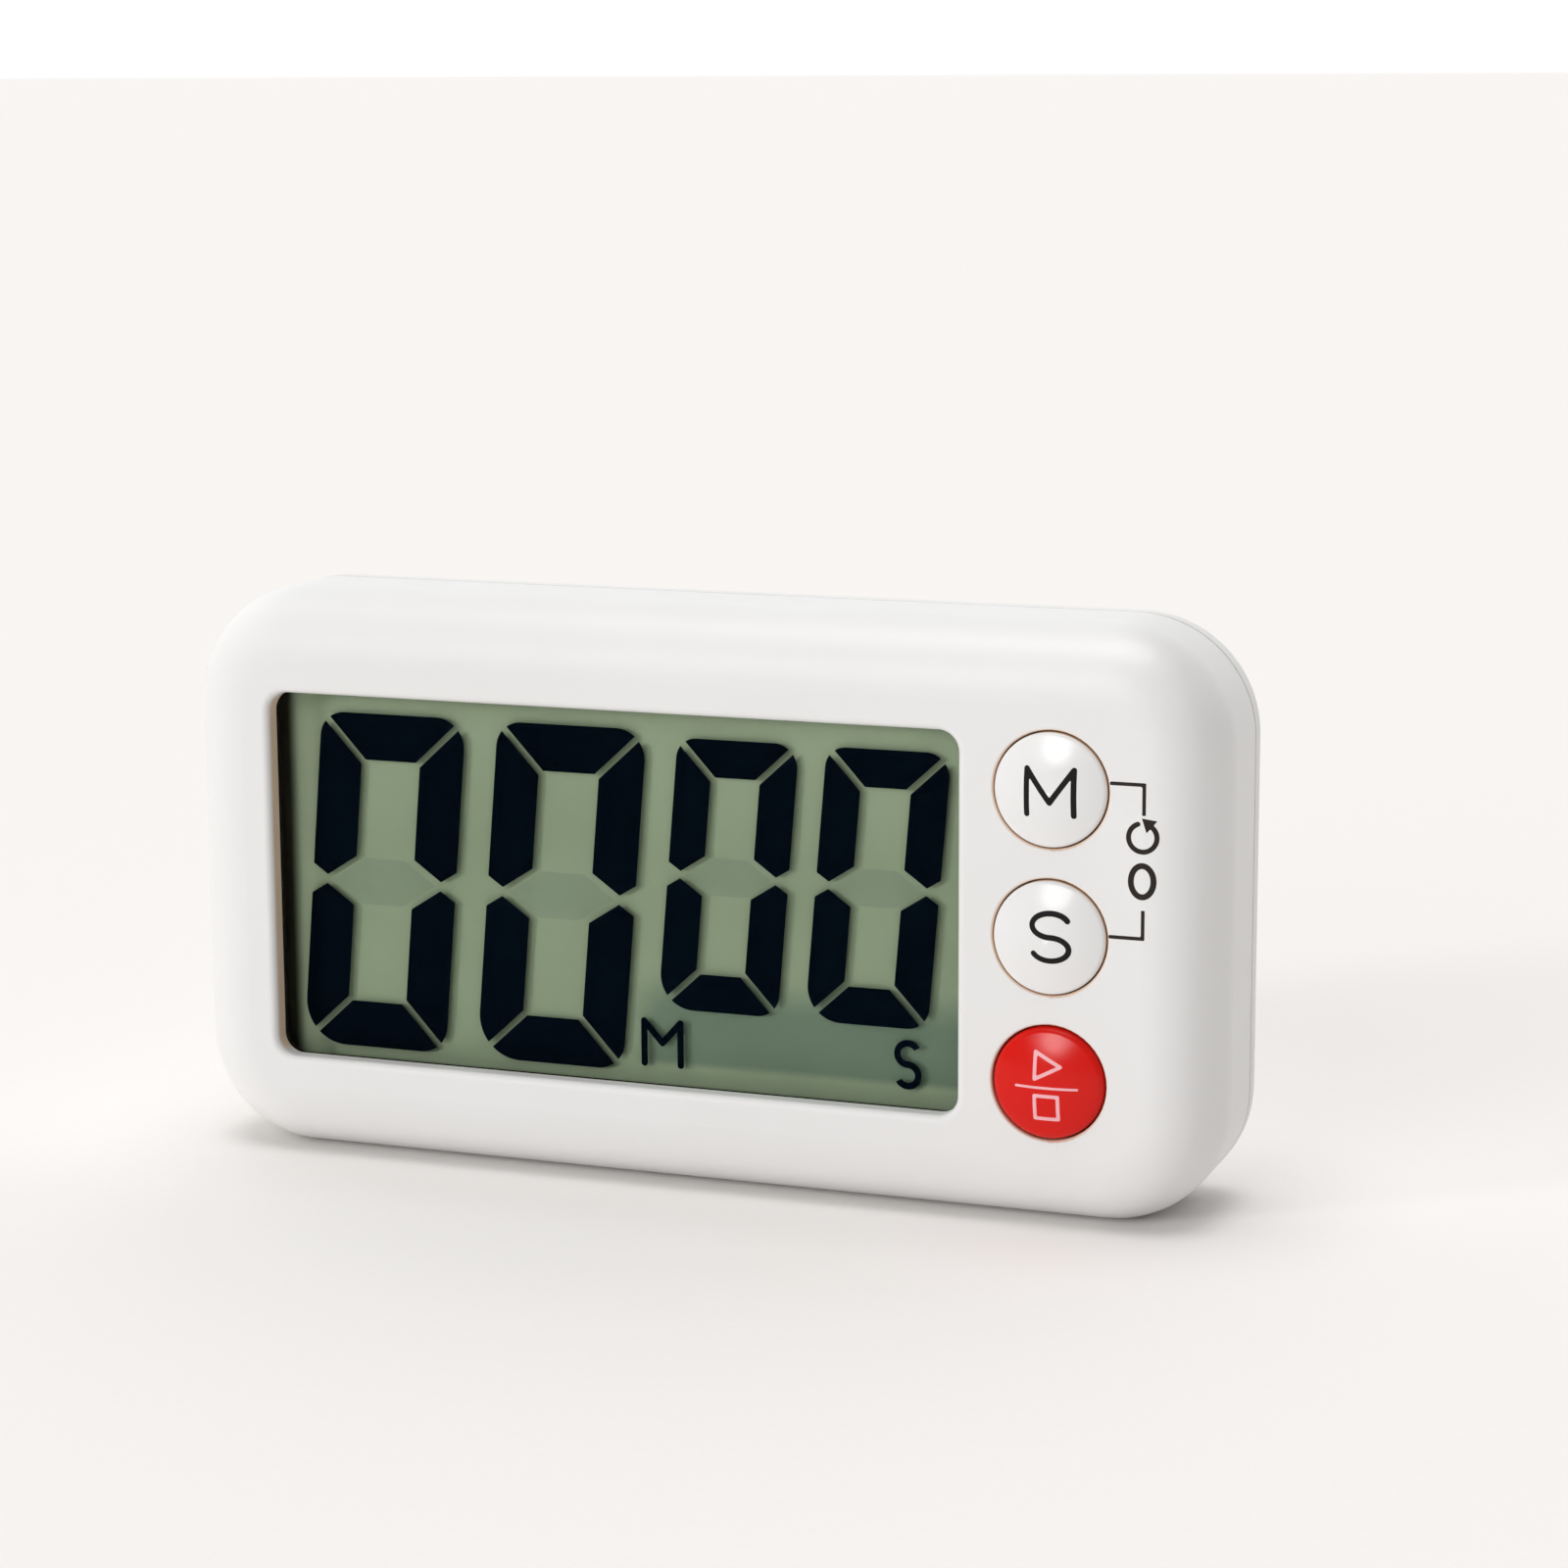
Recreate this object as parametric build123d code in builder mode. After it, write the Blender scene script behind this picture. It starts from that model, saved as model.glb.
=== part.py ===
from build123d import *

import os
from math import atan, degrees, sqrt

# Countdown kitchen timer with a large display, three push buttons and a fold-out stand.
#
# Millimetres. +X is to the right of someone reading the display, +Z is up and the display faces -Y.
# The origin is under the middle of the timer, on the surface that it stands on.
# Most places are given as x, z and a depth, which is measured from the front face towards the rear.

os.makedirs("parts", exist_ok=True)

# Case
CASE_WIDTH = 100.0
CASE_HEIGHT = 53.6
CASE_DEPTH = 19.0
OUTLINE_RADIUS = 10.8
FRONT_EDGE_RADIUS = 6.5
REAR_EDGE_RADIUS = 4.5
WALL = 1.8
FRONT_CASE_DEPTH = 13.2
SEAM_WIDTH = 0.3
SEAM_DEPTH = 0.3
LIP_THICKNESS = 0.8
LIP_LENGTH = 1.5
LIP_GAP = 0.1

# Display window, and the display behind it
WINDOW_WIDTH = 67.4
WINDOW_HEIGHT = 34.8
WINDOW_X = -7.1
WINDOW_Z = 26.9
WINDOW_CORNER = 1.9
WINDOW_EDGE_ROUND = 0.7
SHEET_THICKNESS = 0.6
SHEET_OVERLAP = 1.5
SHEET_CORNER = 0.9
RIB_GAP = 0.15
RIB_THICKNESS = 0.5
RIB_HEIGHT = 0.9
GASKET_THICKNESS = 0.5
GASKET_SETBACK = 0.2
FILM_THICKNESS = 0.15
FILM_CORNER = 0.3
GLASS_THICKNESS = 0.55
GLASS_MARGIN = 1.0
LIQUID_CRYSTAL_THICKNESS = 0.03
REFLECTOR_THICKNESS = 0.2
CONTACT_LEDGE = 2.2
HOLDER_WALL = 0.7
HOLDER_LEDGE = 1.0
HOLDER_GAP = 0.1
HOLDER_CORNER = 1.0
ZEBRA_HALF_LENGTH = 30.0
ZEBRA_WIDTH = 1.7
ZEBRA_START = 0.3

# Numerals, measured from the middle of the window
LARGE_NUMERAL_HEIGHT = 32.06
SMALL_NUMERAL_HEIGHT = 25.33
LARGE_NUMERALS_X = (-23.85, -5.79)
LARGE_NUMERALS_Z = -0.75
SMALL_NUMERALS_X = (10.77, 25.10)
SMALL_NUMERALS_Z = 2.08
SEGMENT_GAP = 0.62
# shares of a numeral's height
NUMERAL_WIDTH = 0.462
NUMERAL_STROKE = 0.137
NUMERAL_SLANT = 0.0865
NUMERAL_BOTTOM_LEFT = 0.125
NUMERAL_BOTTOM_RIGHT = 0.087
NUMERAL_TOP_RIGHT = 0.087
NUMERAL_TOP_LEFT = 0.078
WAIST_TIP_INSET = 0.048
WAIST_TIP_GAP = 0.0134
WAIST_OUTER_GAP = 0.0446
WAIST_INNER_GAP = 0.0736
# marks for minutes and seconds
MARK_HEIGHT = 4.6
MARK_WIDTH = 4.2
MARK_STROKE = 0.62
MARKS_Z = -13.9
MINUTE_MARK_X = 4.2
SECOND_MARK_X = 28.0

# Buttons
BUTTON_X = 35.1
BUTTON_Z = 26.55
BUTTON_PITCH = 13.1
BUTTON_RADIUS = 5.08
BUTTON_GAP = 0.15
BUTTON_CROWN = 1.3
BUTTON_RIM = 0.15
BUTTON_RIM_ROUND = 0.45
START_CROWN = 1.2
START_RIM = 0.05
START_RIM_ROUND = 0.8
BUTTON_WALL = 0.95
BUTTON_CEILING = 0.5
FLANGE_RADIUS = 5.9
FLANGE_CLEARANCE = 0.15
FLANGE_THICKNESS = 0.7
STEM_RADIUS = 1.5
STEM_END = 3.0
HOLE_EDGE_ROUND = 0.25

# Rubber keypad under the buttons
KEYPAD_HALF_WIDTH = 5.6
KEYPAD_END = 6.75
KEYPAD_CORNER = 1.5
KEYPAD_THICKNESS = 0.7
DOME_TOP = 3.1
DOME_TOP_RADIUS = 2.3
DOME_SKIRT_RADIUS = 4.1
DOME_RIM_RADIUS = 4.6
DOME_RIM_WIDTH = 0.9
DOME_CEILING = 3.5
DOME_WEB = 0.25
CONTACT_BOSS_RADIUS = 1.6
CONTACT_BOSS_END = 4.0
CONTACT_RADIUS = 1.5
CONTACT_THICKNESS = 0.35

# Circuit board and what is on it
BOARD_FRONT = 5.2
BOARD_THICKNESS = 1.0
BOARD_INSET = 2.6
BOARD_BOSS_CLEARANCE = 0.2
PAD_RADIUS = 2.0
PAD_THICKNESS = 0.035
CONTROLLER_X = -12.0
CONTROLLER_Z = 15.0
CONTROLLER_RADIUS = 4.5
CONTROLLER_HEIGHT = 1.2
CRYSTAL_X = 5.0
CRYSTAL_Z = 12.0
CRYSTAL_RADIUS = 1.0
CRYSTAL_LENGTH = 6.0
COIL_X = 12.0
COIL_Z = 31.0
COIL_RADIUS = 2.25
COIL_HEIGHT = 5.0
CHIP_LENGTH = 1.6
CHIP_WIDTH = 0.8
CHIP_HEIGHT = 0.5
CHIPS_X = (-22.0, -19.0, -2.5)
CHIPS_Z = (12.0, 18.0)

# Fasteners
SCREW_X = 45.0
SCREW_OFFSET_Z = 17.7
SCREW_RADIUS = 1.0
SCREW_HEAD_RADIUS = 1.8
SCREW_HEAD_HEIGHT = 1.5
SCREW_SEAT = 16.4
SCREW_LENGTH = 10.0
SCREW_CLEARANCE = 0.2
THREAD_CLEARANCE = 0.05
FRONT_BOSS_RADIUS = 2.3
FRONT_BOSS_END = 11.0
REAR_BOSS_RADIUS = 2.5
BOSS_GAP = 0.1
PILOT_START = 4.5
POST_RADIUS = 1.8
POST_START = 1.6
POST_PLACES = ((-45.0, 24.5), (45.0, 24.5), (-7.1, 5.3), (35.1, 49.0))
BOARD_SCREW_RADIUS = 0.8
BOARD_SCREW_HEAD_RADIUS = 1.5
BOARD_SCREW_HEAD_HEIGHT = 0.9
BOARD_SCREW_LENGTH = 3.6
BOARD_SCREW_CLEARANCE = 0.15
BOARD_PILOT_START = 2.4

# Battery, its bay and its two metal contacts
CELL_RADIUS = 5.25
CELL_LENGTH = 44.5
CELL_NUB_LENGTH = 1.2
CELL_NUB_RADIUS = 1.9
CELL_SLEEVE = 0.15
CELL_SLEEVE_INSET = 0.4
CELL_CAN_WALL = 0.25
BAY_Z = 34.6
BAY_HALF_WIDTH = 5.55
BAY_LEFT = -46.4
BAY_RIGHT = 4.2
BAY_FLOOR = 7.2
BAY_FLOOR_THICKNESS = 0.7
BAY_WALL = 1.0
PLATE_THICKNESS = 0.3
PLATE_HALF_WIDTH = 4.5
PLATE_DIMPLE_RADIUS = 2.4
TAB_HALF_WIDTH = 1.0
TAB_END = 5.0
TAB_GAP = 0.1
SPRING_WIRE_RADIUS = 0.35
SPRING_TURNS = 4
SPRING_BASE_RADIUS = 3.6
SPRING_TIP_RADIUS = 2.0

# Battery door, a T in section that slides in a T slot
DOOR_HALF_WIDTH = 6.25
DOOR_FLANGE_HALF_WIDTH = 6.95
DOOR_FLANGE_INNER = 5.2
DOOR_FLANGE_FRONT = 16.9
DOOR_PLATE_FRONT = 17.7
DOOR_RELIEF_HALF_WIDTH = 3.6
DOOR_GAP = 0.1
DOOR_FRAME_HALF_WIDTH = 7.9
DOOR_FRAME_FRONT = 16.0
DOOR_FRAME_INSET = 1.2
DOOR_FRAME_BEYOND = 1.4
DOOR_BEYOND = 0.4
GRIP_COUNT = 5
GRIP_START_X = -43.5
GRIP_PITCH = 1.6
GRIP_RADIUS = 0.6
GRIP_DEPTH = 0.35
GRIP_LENGTH = 8.0
ARROW_TIP_X = -34.6
ARROW_LENGTH = 3.2
ARROW_HALF_WIDTH = 2.2
ARROW_DEPTH = 0.25

# Fold-out stand
STAND_HALF_WIDTH = 20.0
STAND_AXIS_Z = 24.0
STAND_AXIS_DEPTH = 17.35
STAND_TIP_Z = 5.6
STAND_FRONT = 17.05
STAND_REAR = 18.85
STAND_CORNER = 2.5
STAND_EDGE_ROUND = 0.3
STAND_KNUCKLE_RADIUS = 1.5
STAND_PIN_RADIUS = 1.0
STAND_PIN_REACH = 21.1
STAND_GAP = 0.3
STAND_CHEEK = 1.2
RECESS_FLOOR = 16.8
RECESS_CORNER = 2.7
HINGE_POCKET_FLOOR = 15.5
RECESS_FLOOR_THICKNESS = 1.1
PIN_CLEARANCE = 0.05
NOTCH_HALF_WIDTH = 6.0
NOTCH_HEIGHT = 2.4
NOTCH_CORNER = 1.2

# Magnets
MAGNET_X = 33.5
MAGNET_Z = 14.0
MAGNET_RADIUS = 7.0
MAGNET_FRONT = 16.55
MAGNET_REAR = 18.95
MAGNET_CHAMFER = 0.25
MAGNET_GAP = 0.05
MAGNET_CUP_WALL = 1.1

# Buzzer
BUZZER_X = 28.5
BUZZER_Z = 36.5
BUZZER_RADIUS = 10.0
BUZZER_DEPTH = 15.65
BUZZER_THICKNESS = 0.2
CERAMIC_RADIUS = 7.0
BUZZER_GAP = 0.1
BUZZER_RING_FRONT = 15.1
BUZZER_RING_WALL = 0.8
BUZZER_SHELF = 1.2
SOUND_SLOT_COUNT = 5
SOUND_SLOT_PITCH = 2.6
SOUND_SLOT_WIDTH = 1.2
SOUND_SLOT_END_ROUND = 0.55
SOUND_SLOT_REACH = 7.6
WIRE_RADIUS = 0.35
WIRE_BEND = 1.8
WIRE_RUN_DEPTH = 10.5
RED_WIRE_START = (25.5, 36.5)
RED_WIRE_END = (17.0, 36.5)
BLACK_WIRE_START = (20.0, 39.0)
BLACK_WIRE_END = (15.0, 43.0)

# The domed caps stand proud of the front face, and the origin is in the middle of the whole depth
FRONT_Y = BUTTON_CROWN / 2 - CASE_DEPTH / 2
MIDDLE_Z = CASE_HEIGHT / 2
OVERRUN = 0.5
BEHIND = CASE_DEPTH + OVERRUN
INNER_REAR = CASE_DEPTH - WALL
BOARD_REAR = BOARD_FRONT + BOARD_THICKNESS

SHEET_REAR = WALL + SHEET_THICKNESS
GASKET_REAR = SHEET_REAR + GASKET_THICKNESS
FRONT_GLASS = (GASKET_REAR + FILM_THICKNESS, GASKET_REAR + FILM_THICKNESS + GLASS_THICKNESS)
LIQUID_CRYSTAL = (FRONT_GLASS[1], FRONT_GLASS[1] + LIQUID_CRYSTAL_THICKNESS)
REAR_GLASS = (LIQUID_CRYSTAL[1], LIQUID_CRYSTAL[1] + GLASS_THICKNESS)
REFLECTOR = (REAR_GLASS[1], REAR_GLASS[1] + REFLECTOR_THICKNESS)

MINUTE_Z = BUTTON_Z + BUTTON_PITCH
SECOND_Z = BUTTON_Z
START_Z = BUTTON_Z - BUTTON_PITCH
BUTTONS_Z = (MINUTE_Z, SECOND_Z, START_Z)
SCREW_PLACES = [
    (side * SCREW_X, MIDDLE_Z + level * SCREW_OFFSET_Z)
    for side in (-1, 1)
    for level in (-1, 1)
]

CELL_DEPTH = BAY_FLOOR + DOOR_GAP + CELL_RADIUS
CELL_RIGHT = BAY_RIGHT - 2 * PLATE_THICKNESS
CELL_LEFT = CELL_RIGHT - CELL_LENGTH
CAN_RIGHT = CELL_RIGHT - CELL_NUB_LENGTH
CAN_RADIUS = CELL_RADIUS - CELL_SLEEVE
DOOR_RIGHT = BAY_RIGHT + DOOR_BEYOND
FRAME_LEFT = DOOR_FRAME_INSET - CASE_WIDTH / 2

RECESS_HALF_WIDTH = STAND_HALF_WIDTH + STAND_GAP
RECESS_BOTTOM = STAND_TIP_Z - STAND_GAP
RECESS_TOP = STAND_AXIS_Z + STAND_KNUCKLE_RADIUS + STAND_GAP
HINGE_POCKET_BOTTOM = STAND_AXIS_Z - STAND_KNUCKLE_RADIUS - STAND_GAP
STAND_BLOCK_HALF_WIDTH = RECESS_HALF_WIDTH + STAND_CHEEK


def depth_plane(depth):
    """Plane parallel to the front face: local x is +X, local y is +Z and its normal points forward."""
    return Plane(origin=(0, FRONT_Y + depth, 0), x_dir=(1, 0, 0), z_dir=(0, -1, 0))


def profile_plane(x, z):
    """Plane for turned profiles: local x is the radius from a front-to-rear axis and local y the depth."""
    return Plane(origin=(x, FRONT_Y, z), x_dir=(1, 0, 0), z_dir=(0, 0, 1))


def turning_axis(x, z):
    """The front-to-rear axis at x and z."""
    return Axis((x, FRONT_Y, z), (0, 1, 0))


def place(x, depth, z):
    """The point at x, depth and z."""
    return (x, FRONT_Y + depth, z)


def span(centre, half_width):
    """The two limits that lie half a width to each side of a centre."""
    return centre - half_width, centre + half_width


def block(xs, depths, zs, mode=Mode.ADD):
    """A block between two values each of x, depth and z."""
    sizes = [high - low for low, high in (xs, depths, zs)]
    centre = place(*[(low + high) / 2 for low, high in (xs, depths, zs)])
    with Locations(centre):
        Box(*sizes, mode=mode)


def disc(x, z, radius, depths, mode=Mode.ADD):
    """A round bar or hole that runs from front to rear."""
    with BuildSketch(depth_plane(depths[1])) as profile:
        with Locations((x, z)):
            Circle(radius)
    extrude(profile.sketch, amount=depths[1] - depths[0], mode=mode)


def cross_bar(x, depth, z, radius, length, mode=Mode.ADD):
    """A round bar or hole that runs from left to right."""
    with Locations(place(x, depth, z)):
        Cylinder(radius, length, rotation=(0, 90, 0), mode=mode)


def rounded_plate(xs, zs, radius, depths, mode=Mode.ADD):
    """A plate with rounded corners, parallel to the front face."""
    with BuildSketch(depth_plane(depths[1])) as profile:
        with Locations(((xs[0] + xs[1]) / 2, (zs[0] + zs[1]) / 2)):
            RectangleRounded(xs[1] - xs[0], zs[1] - zs[0], radius)
    extrude(profile.sketch, amount=depths[1] - depths[0], mode=mode)


def outline_plate(inset, depths, mode=Mode.ADD):
    """A plate of the case's outline, inset all round."""
    across = span(0, CASE_WIDTH / 2 - inset)
    rounded_plate(across, (inset, CASE_HEIGHT - inset), OUTLINE_RADIUS - inset, depths, mode)


def window_span(margin):
    """The display window's limits in x and z, made larger by a margin."""
    return span(WINDOW_X, WINDOW_WIDTH / 2 + margin), span(WINDOW_Z, WINDOW_HEIGHT / 2 + margin)


# ---------------------------------------------------------------- case

with BuildPart() as case_form:
    outline_plate(0, (0, CASE_DEPTH))
    fillet(case_form.faces().sort_by(Axis.Y)[0].edges(), FRONT_EDGE_RADIUS)
    fillet(case_form.faces().sort_by(Axis.Y)[-1].edges(), REAR_EDGE_RADIUS)

with BuildPart() as front_cavity:
    outline_plate(WALL, (WALL, FRONT_CASE_DEPTH + OVERRUN))
    fillet(front_cavity.faces().sort_by(Axis.Y)[0].edges(), FRONT_EDGE_RADIUS - WALL)

with BuildPart() as rear_cavity:
    outline_plate(WALL, (FRONT_CASE_DEPTH - OVERRUN, INNER_REAR))
    fillet(rear_cavity.faces().sort_by(Axis.Y)[-1].edges(), REAR_EDGE_RADIUS - WALL)

with BuildPart() as seam_ring:
    seam_span = (FRONT_CASE_DEPTH, FRONT_CASE_DEPTH + SEAM_WIDTH)
    outline_plate(-OVERRUN, seam_span)
    outline_plate(SEAM_DEPTH, seam_span, Mode.SUBTRACT)

with BuildPart() as front_case:
    add(case_form.part)
    split(bisect_by=depth_plane(FRONT_CASE_DEPTH), keep=Keep.TOP)
    add(front_cavity.part, mode=Mode.SUBTRACT)
    # rib that locates the clear sheet
    rib_outside = window_span(SHEET_OVERLAP + RIB_GAP + RIB_THICKNESS)
    rib_inside = window_span(SHEET_OVERLAP + RIB_GAP)
    rib_end = WALL + RIB_HEIGHT
    rounded_plate(*rib_outside, WINDOW_CORNER, (POST_START, rib_end))
    rounded_plate(*rib_inside, WINDOW_CORNER - RIB_THICKNESS, (WALL, rib_end), Mode.SUBTRACT)
    # window and button holes, each with a rounded outer edge
    rounded_plate(*window_span(0), WINDOW_CORNER, (-OVERRUN, rib_end), Mode.SUBTRACT)
    face_edges = front_case.faces().sort_by(Axis.Y)[0].inner_wires().edges()
    fillet(face_edges, WINDOW_EDGE_ROUND)
    for z in BUTTONS_Z:
        disc(BUTTON_X, z, BUTTON_RADIUS + BUTTON_GAP, (-OVERRUN, WALL + OVERRUN), Mode.SUBTRACT)
    face_edges = front_case.faces().sort_by(Axis.Y)[0].inner_wires().edges()
    hole_edges = face_edges.filter_by(GeomType.CIRCLE).sort_by(SortBy.RADIUS)[-len(BUTTONS_Z) :]
    fillet(hole_edges, HOLE_EDGE_ROUND)
    # screw bosses, and posts for the circuit board
    for x, z in SCREW_PLACES:
        disc(x, z, FRONT_BOSS_RADIUS, (POST_START, FRONT_BOSS_END))
        pilot = SCREW_RADIUS + THREAD_CLEARANCE
        disc(x, z, pilot, (PILOT_START, FRONT_BOSS_END), Mode.SUBTRACT)
    for x, z in POST_PLACES:
        disc(x, z, POST_RADIUS, (POST_START, BOARD_FRONT))
        pilot = BOARD_SCREW_RADIUS + THREAD_CLEARANCE
        disc(x, z, pilot, (BOARD_PILOT_START, BOARD_FRONT), Mode.SUBTRACT)
front_case.part.label = "front_case"
export_step(front_case.part, "parts/front_case.step")


def contact_span(side):
    """The limits in x of the metal contact at the right (1) or left (-1) end of the battery bay."""
    if side > 0:
        return BAY_RIGHT - PLATE_THICKNESS, BAY_RIGHT
    return BAY_LEFT, BAY_LEFT + PLATE_THICKNESS


def tab_slots(depths):
    """Cuts the two slots that the contacts' solder tabs pass through."""
    for side in (-1, 1):
        low, high = contact_span(side)
        across = (low - TAB_GAP, high + TAB_GAP)
        block(across, depths, span(BAY_Z, TAB_HALF_WIDTH + TAB_GAP), Mode.SUBTRACT)


with BuildPart() as rear_cover:
    add(case_form.part)
    split(bisect_by=depth_plane(FRONT_CASE_DEPTH), keep=Keep.BOTTOM)
    add(seam_ring.part, mode=Mode.SUBTRACT)
    add(rear_cavity.part, mode=Mode.SUBTRACT)
    # lip that enters the front shell
    lip_span = (FRONT_CASE_DEPTH - LIP_LENGTH, FRONT_CASE_DEPTH + SEAM_WIDTH + LIP_THICKNESS)
    outline_plate(WALL + LIP_GAP, lip_span)
    outline_plate(WALL + LIP_GAP + LIP_THICKNESS, lip_span, Mode.SUBTRACT)
    # battery bay, and the frame of its door out to the side of the case
    bay_outside = (BAY_LEFT - BAY_WALL, BAY_RIGHT + BAY_WALL)
    bay_depths = (BAY_FLOOR - BAY_FLOOR_THICKNESS, INNER_REAR)
    block(bay_outside, bay_depths, span(BAY_Z, BAY_HALF_WIDTH + BAY_WALL))
    frame = (FRAME_LEFT, BAY_RIGHT + DOOR_FRAME_BEYOND)
    block(frame, (DOOR_FRAME_FRONT, INNER_REAR), span(BAY_Z, DOOR_FRAME_HALF_WIDTH))
    # material in front of the stand's recess and, deeper, in front of its hinge
    cheeks = span(0, STAND_BLOCK_HALF_WIDTH)
    for floor, bottom in (
        (RECESS_FLOOR, RECESS_BOTTOM),
        (HINGE_POCKET_FLOOR, HINGE_POCKET_BOTTOM),
    ):
        depths = (floor - RECESS_FLOOR_THICKNESS, INNER_REAR)
        block(cheeks, depths, (bottom - STAND_CHEEK, RECESS_TOP + STAND_CHEEK))
    # magnet cups and screw posts
    for side in (-1, 1):
        cup = (MAGNET_FRONT - MAGNET_GAP - MAGNET_CUP_WALL, INNER_REAR)
        disc(side * MAGNET_X, MAGNET_Z, MAGNET_RADIUS + MAGNET_CUP_WALL, cup)
    for x, z in SCREW_PLACES:
        disc(x, z, REAR_BOSS_RADIUS, (FRONT_BOSS_END + BOSS_GAP, INNER_REAR))
    # ring that the buzzer sits in
    seat = BUZZER_DEPTH + BUZZER_THICKNESS
    ring_hole = BUZZER_RADIUS + BUZZER_GAP
    disc(BUZZER_X, BUZZER_Z, ring_hole + BUZZER_RING_WALL, (BUZZER_RING_FRONT, INNER_REAR))
    disc(BUZZER_X, BUZZER_Z, ring_hole, (BUZZER_RING_FRONT, seat), Mode.SUBTRACT)
    disc(BUZZER_X, BUZZER_Z, BUZZER_RADIUS - BUZZER_SHELF, (seat, INNER_REAR), Mode.SUBTRACT)
    for step in range(SOUND_SLOT_COUNT):
        offset = (step - (SOUND_SLOT_COUNT - 1) / 2) * SOUND_SLOT_PITCH
        across = span(BUZZER_X, sqrt(SOUND_SLOT_REACH**2 - offset**2))
        up = span(BUZZER_Z + offset, SOUND_SLOT_WIDTH / 2)
        depths = (INNER_REAR - OVERRUN, BEHIND)
        rounded_plate(across, up, SOUND_SLOT_END_ROUND, depths, Mode.SUBTRACT)
    # inside of the battery bay, and the door's T slot, open at the side of the case
    block((BAY_LEFT, BAY_RIGHT), (BAY_FLOOR, BEHIND), span(BAY_Z, BAY_HALF_WIDTH), Mode.SUBTRACT)
    slot = (-CASE_WIDTH, DOOR_RIGHT + DOOR_GAP)
    flange_depths = (DOOR_FLANGE_FRONT - DOOR_GAP, DOOR_PLATE_FRONT + DOOR_GAP)
    block(slot, flange_depths, span(BAY_Z, DOOR_FLANGE_HALF_WIDTH + DOOR_GAP), Mode.SUBTRACT)
    block(slot, (DOOR_PLATE_FRONT, BEHIND), span(BAY_Z, DOOR_HALF_WIDTH + DOOR_GAP), Mode.SUBTRACT)
    tab_slots((BAY_FLOOR - BAY_WALL, BAY_FLOOR + OVERRUN))
    # stand's recess, hinge pocket and pin holes
    recess = span(0, RECESS_HALF_WIDTH)
    upright = (RECESS_BOTTOM, RECESS_TOP)
    rounded_plate(recess, upright, RECESS_CORNER, (RECESS_FLOOR, BEHIND), Mode.SUBTRACT)
    block(recess, (HINGE_POCKET_FLOOR, BEHIND), (HINGE_POCKET_BOTTOM, RECESS_TOP), Mode.SUBTRACT)
    pin_hole = 2 * (STAND_PIN_REACH + DOOR_GAP)
    pin_hole_radius = STAND_PIN_RADIUS + PIN_CLEARANCE
    cross_bar(0, STAND_AXIS_DEPTH, STAND_AXIS_Z, pin_hole_radius, pin_hole, Mode.SUBTRACT)
    # magnet pockets and screw holes
    for side in (-1, 1):
        pocket = (MAGNET_FRONT - MAGNET_GAP, BEHIND)
        disc(side * MAGNET_X, MAGNET_Z, MAGNET_RADIUS + MAGNET_GAP, pocket, Mode.SUBTRACT)
    for x, z in SCREW_PLACES:
        disc(x, z, SCREW_RADIUS + SCREW_CLEARANCE, (FRONT_BOSS_END, BEHIND), Mode.SUBTRACT)
        disc(x, z, SCREW_HEAD_RADIUS + SCREW_CLEARANCE, (SCREW_SEAT, BEHIND), Mode.SUBTRACT)
rear_cover.part.label = "rear_cover"
export_step(rear_cover.part, "parts/rear_cover.step")

# ---------------------------------------------------------------- window and display

GLASS_XS, GLASS_ZS = window_span(GLASS_MARGIN)
LEDGE_ZS = (GLASS_ZS[0], GLASS_ZS[1] + CONTACT_LEDGE)
ZEBRA_ZS = (GLASS_ZS[1] + ZEBRA_START, GLASS_ZS[1] + ZEBRA_START + ZEBRA_WIDTH)

with BuildPart() as display_window:
    rounded_plate(*window_span(SHEET_OVERLAP), SHEET_CORNER, (WALL, SHEET_REAR))
display_window.part.label = "display_window"
export_step(display_window.part, "parts/display_window.step")

with BuildPart() as display_gasket:
    gasket_depths = (SHEET_REAR, GASKET_REAR)
    rounded_plate(*window_span(SHEET_OVERLAP), SHEET_CORNER, gasket_depths)
    rounded_plate(*window_span(GASKET_SETBACK), WINDOW_CORNER, gasket_depths, Mode.SUBTRACT)
display_gasket.part.label = "display_gasket"
export_step(display_gasket.part, "parts/display_gasket.step")

with BuildPart() as lcd_front_polariser:
    rounded_plate(GLASS_XS, GLASS_ZS, FILM_CORNER, (GASKET_REAR, FRONT_GLASS[0]))
lcd_front_polariser.part.label = "lcd_front_polariser"
export_step(lcd_front_polariser.part, "parts/lcd_front_polariser.step")

with BuildPart() as lcd_front_glass:
    block(GLASS_XS, FRONT_GLASS, LEDGE_ZS)
lcd_front_glass.part.label = "lcd_front_glass"
export_step(lcd_front_glass.part, "parts/lcd_front_glass.step")

with BuildPart() as lcd_rear_glass:
    block(GLASS_XS, REAR_GLASS, GLASS_ZS)
lcd_rear_glass.part.label = "lcd_rear_glass"
export_step(lcd_rear_glass.part, "parts/lcd_rear_glass.step")

with BuildPart() as lcd_reflector:
    rounded_plate(GLASS_XS, GLASS_ZS, FILM_CORNER, REFLECTOR)
lcd_reflector.part.label = "lcd_reflector"
export_step(lcd_reflector.part, "parts/lcd_reflector.step")


def polygon(points, mode=Mode.ADD):
    """A face with straight sides, added to or cut from a sketch."""
    with BuildLine() as outline:
        Polyline(*points, close=True)
    make_face(outline.edges(), mode=mode)


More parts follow.
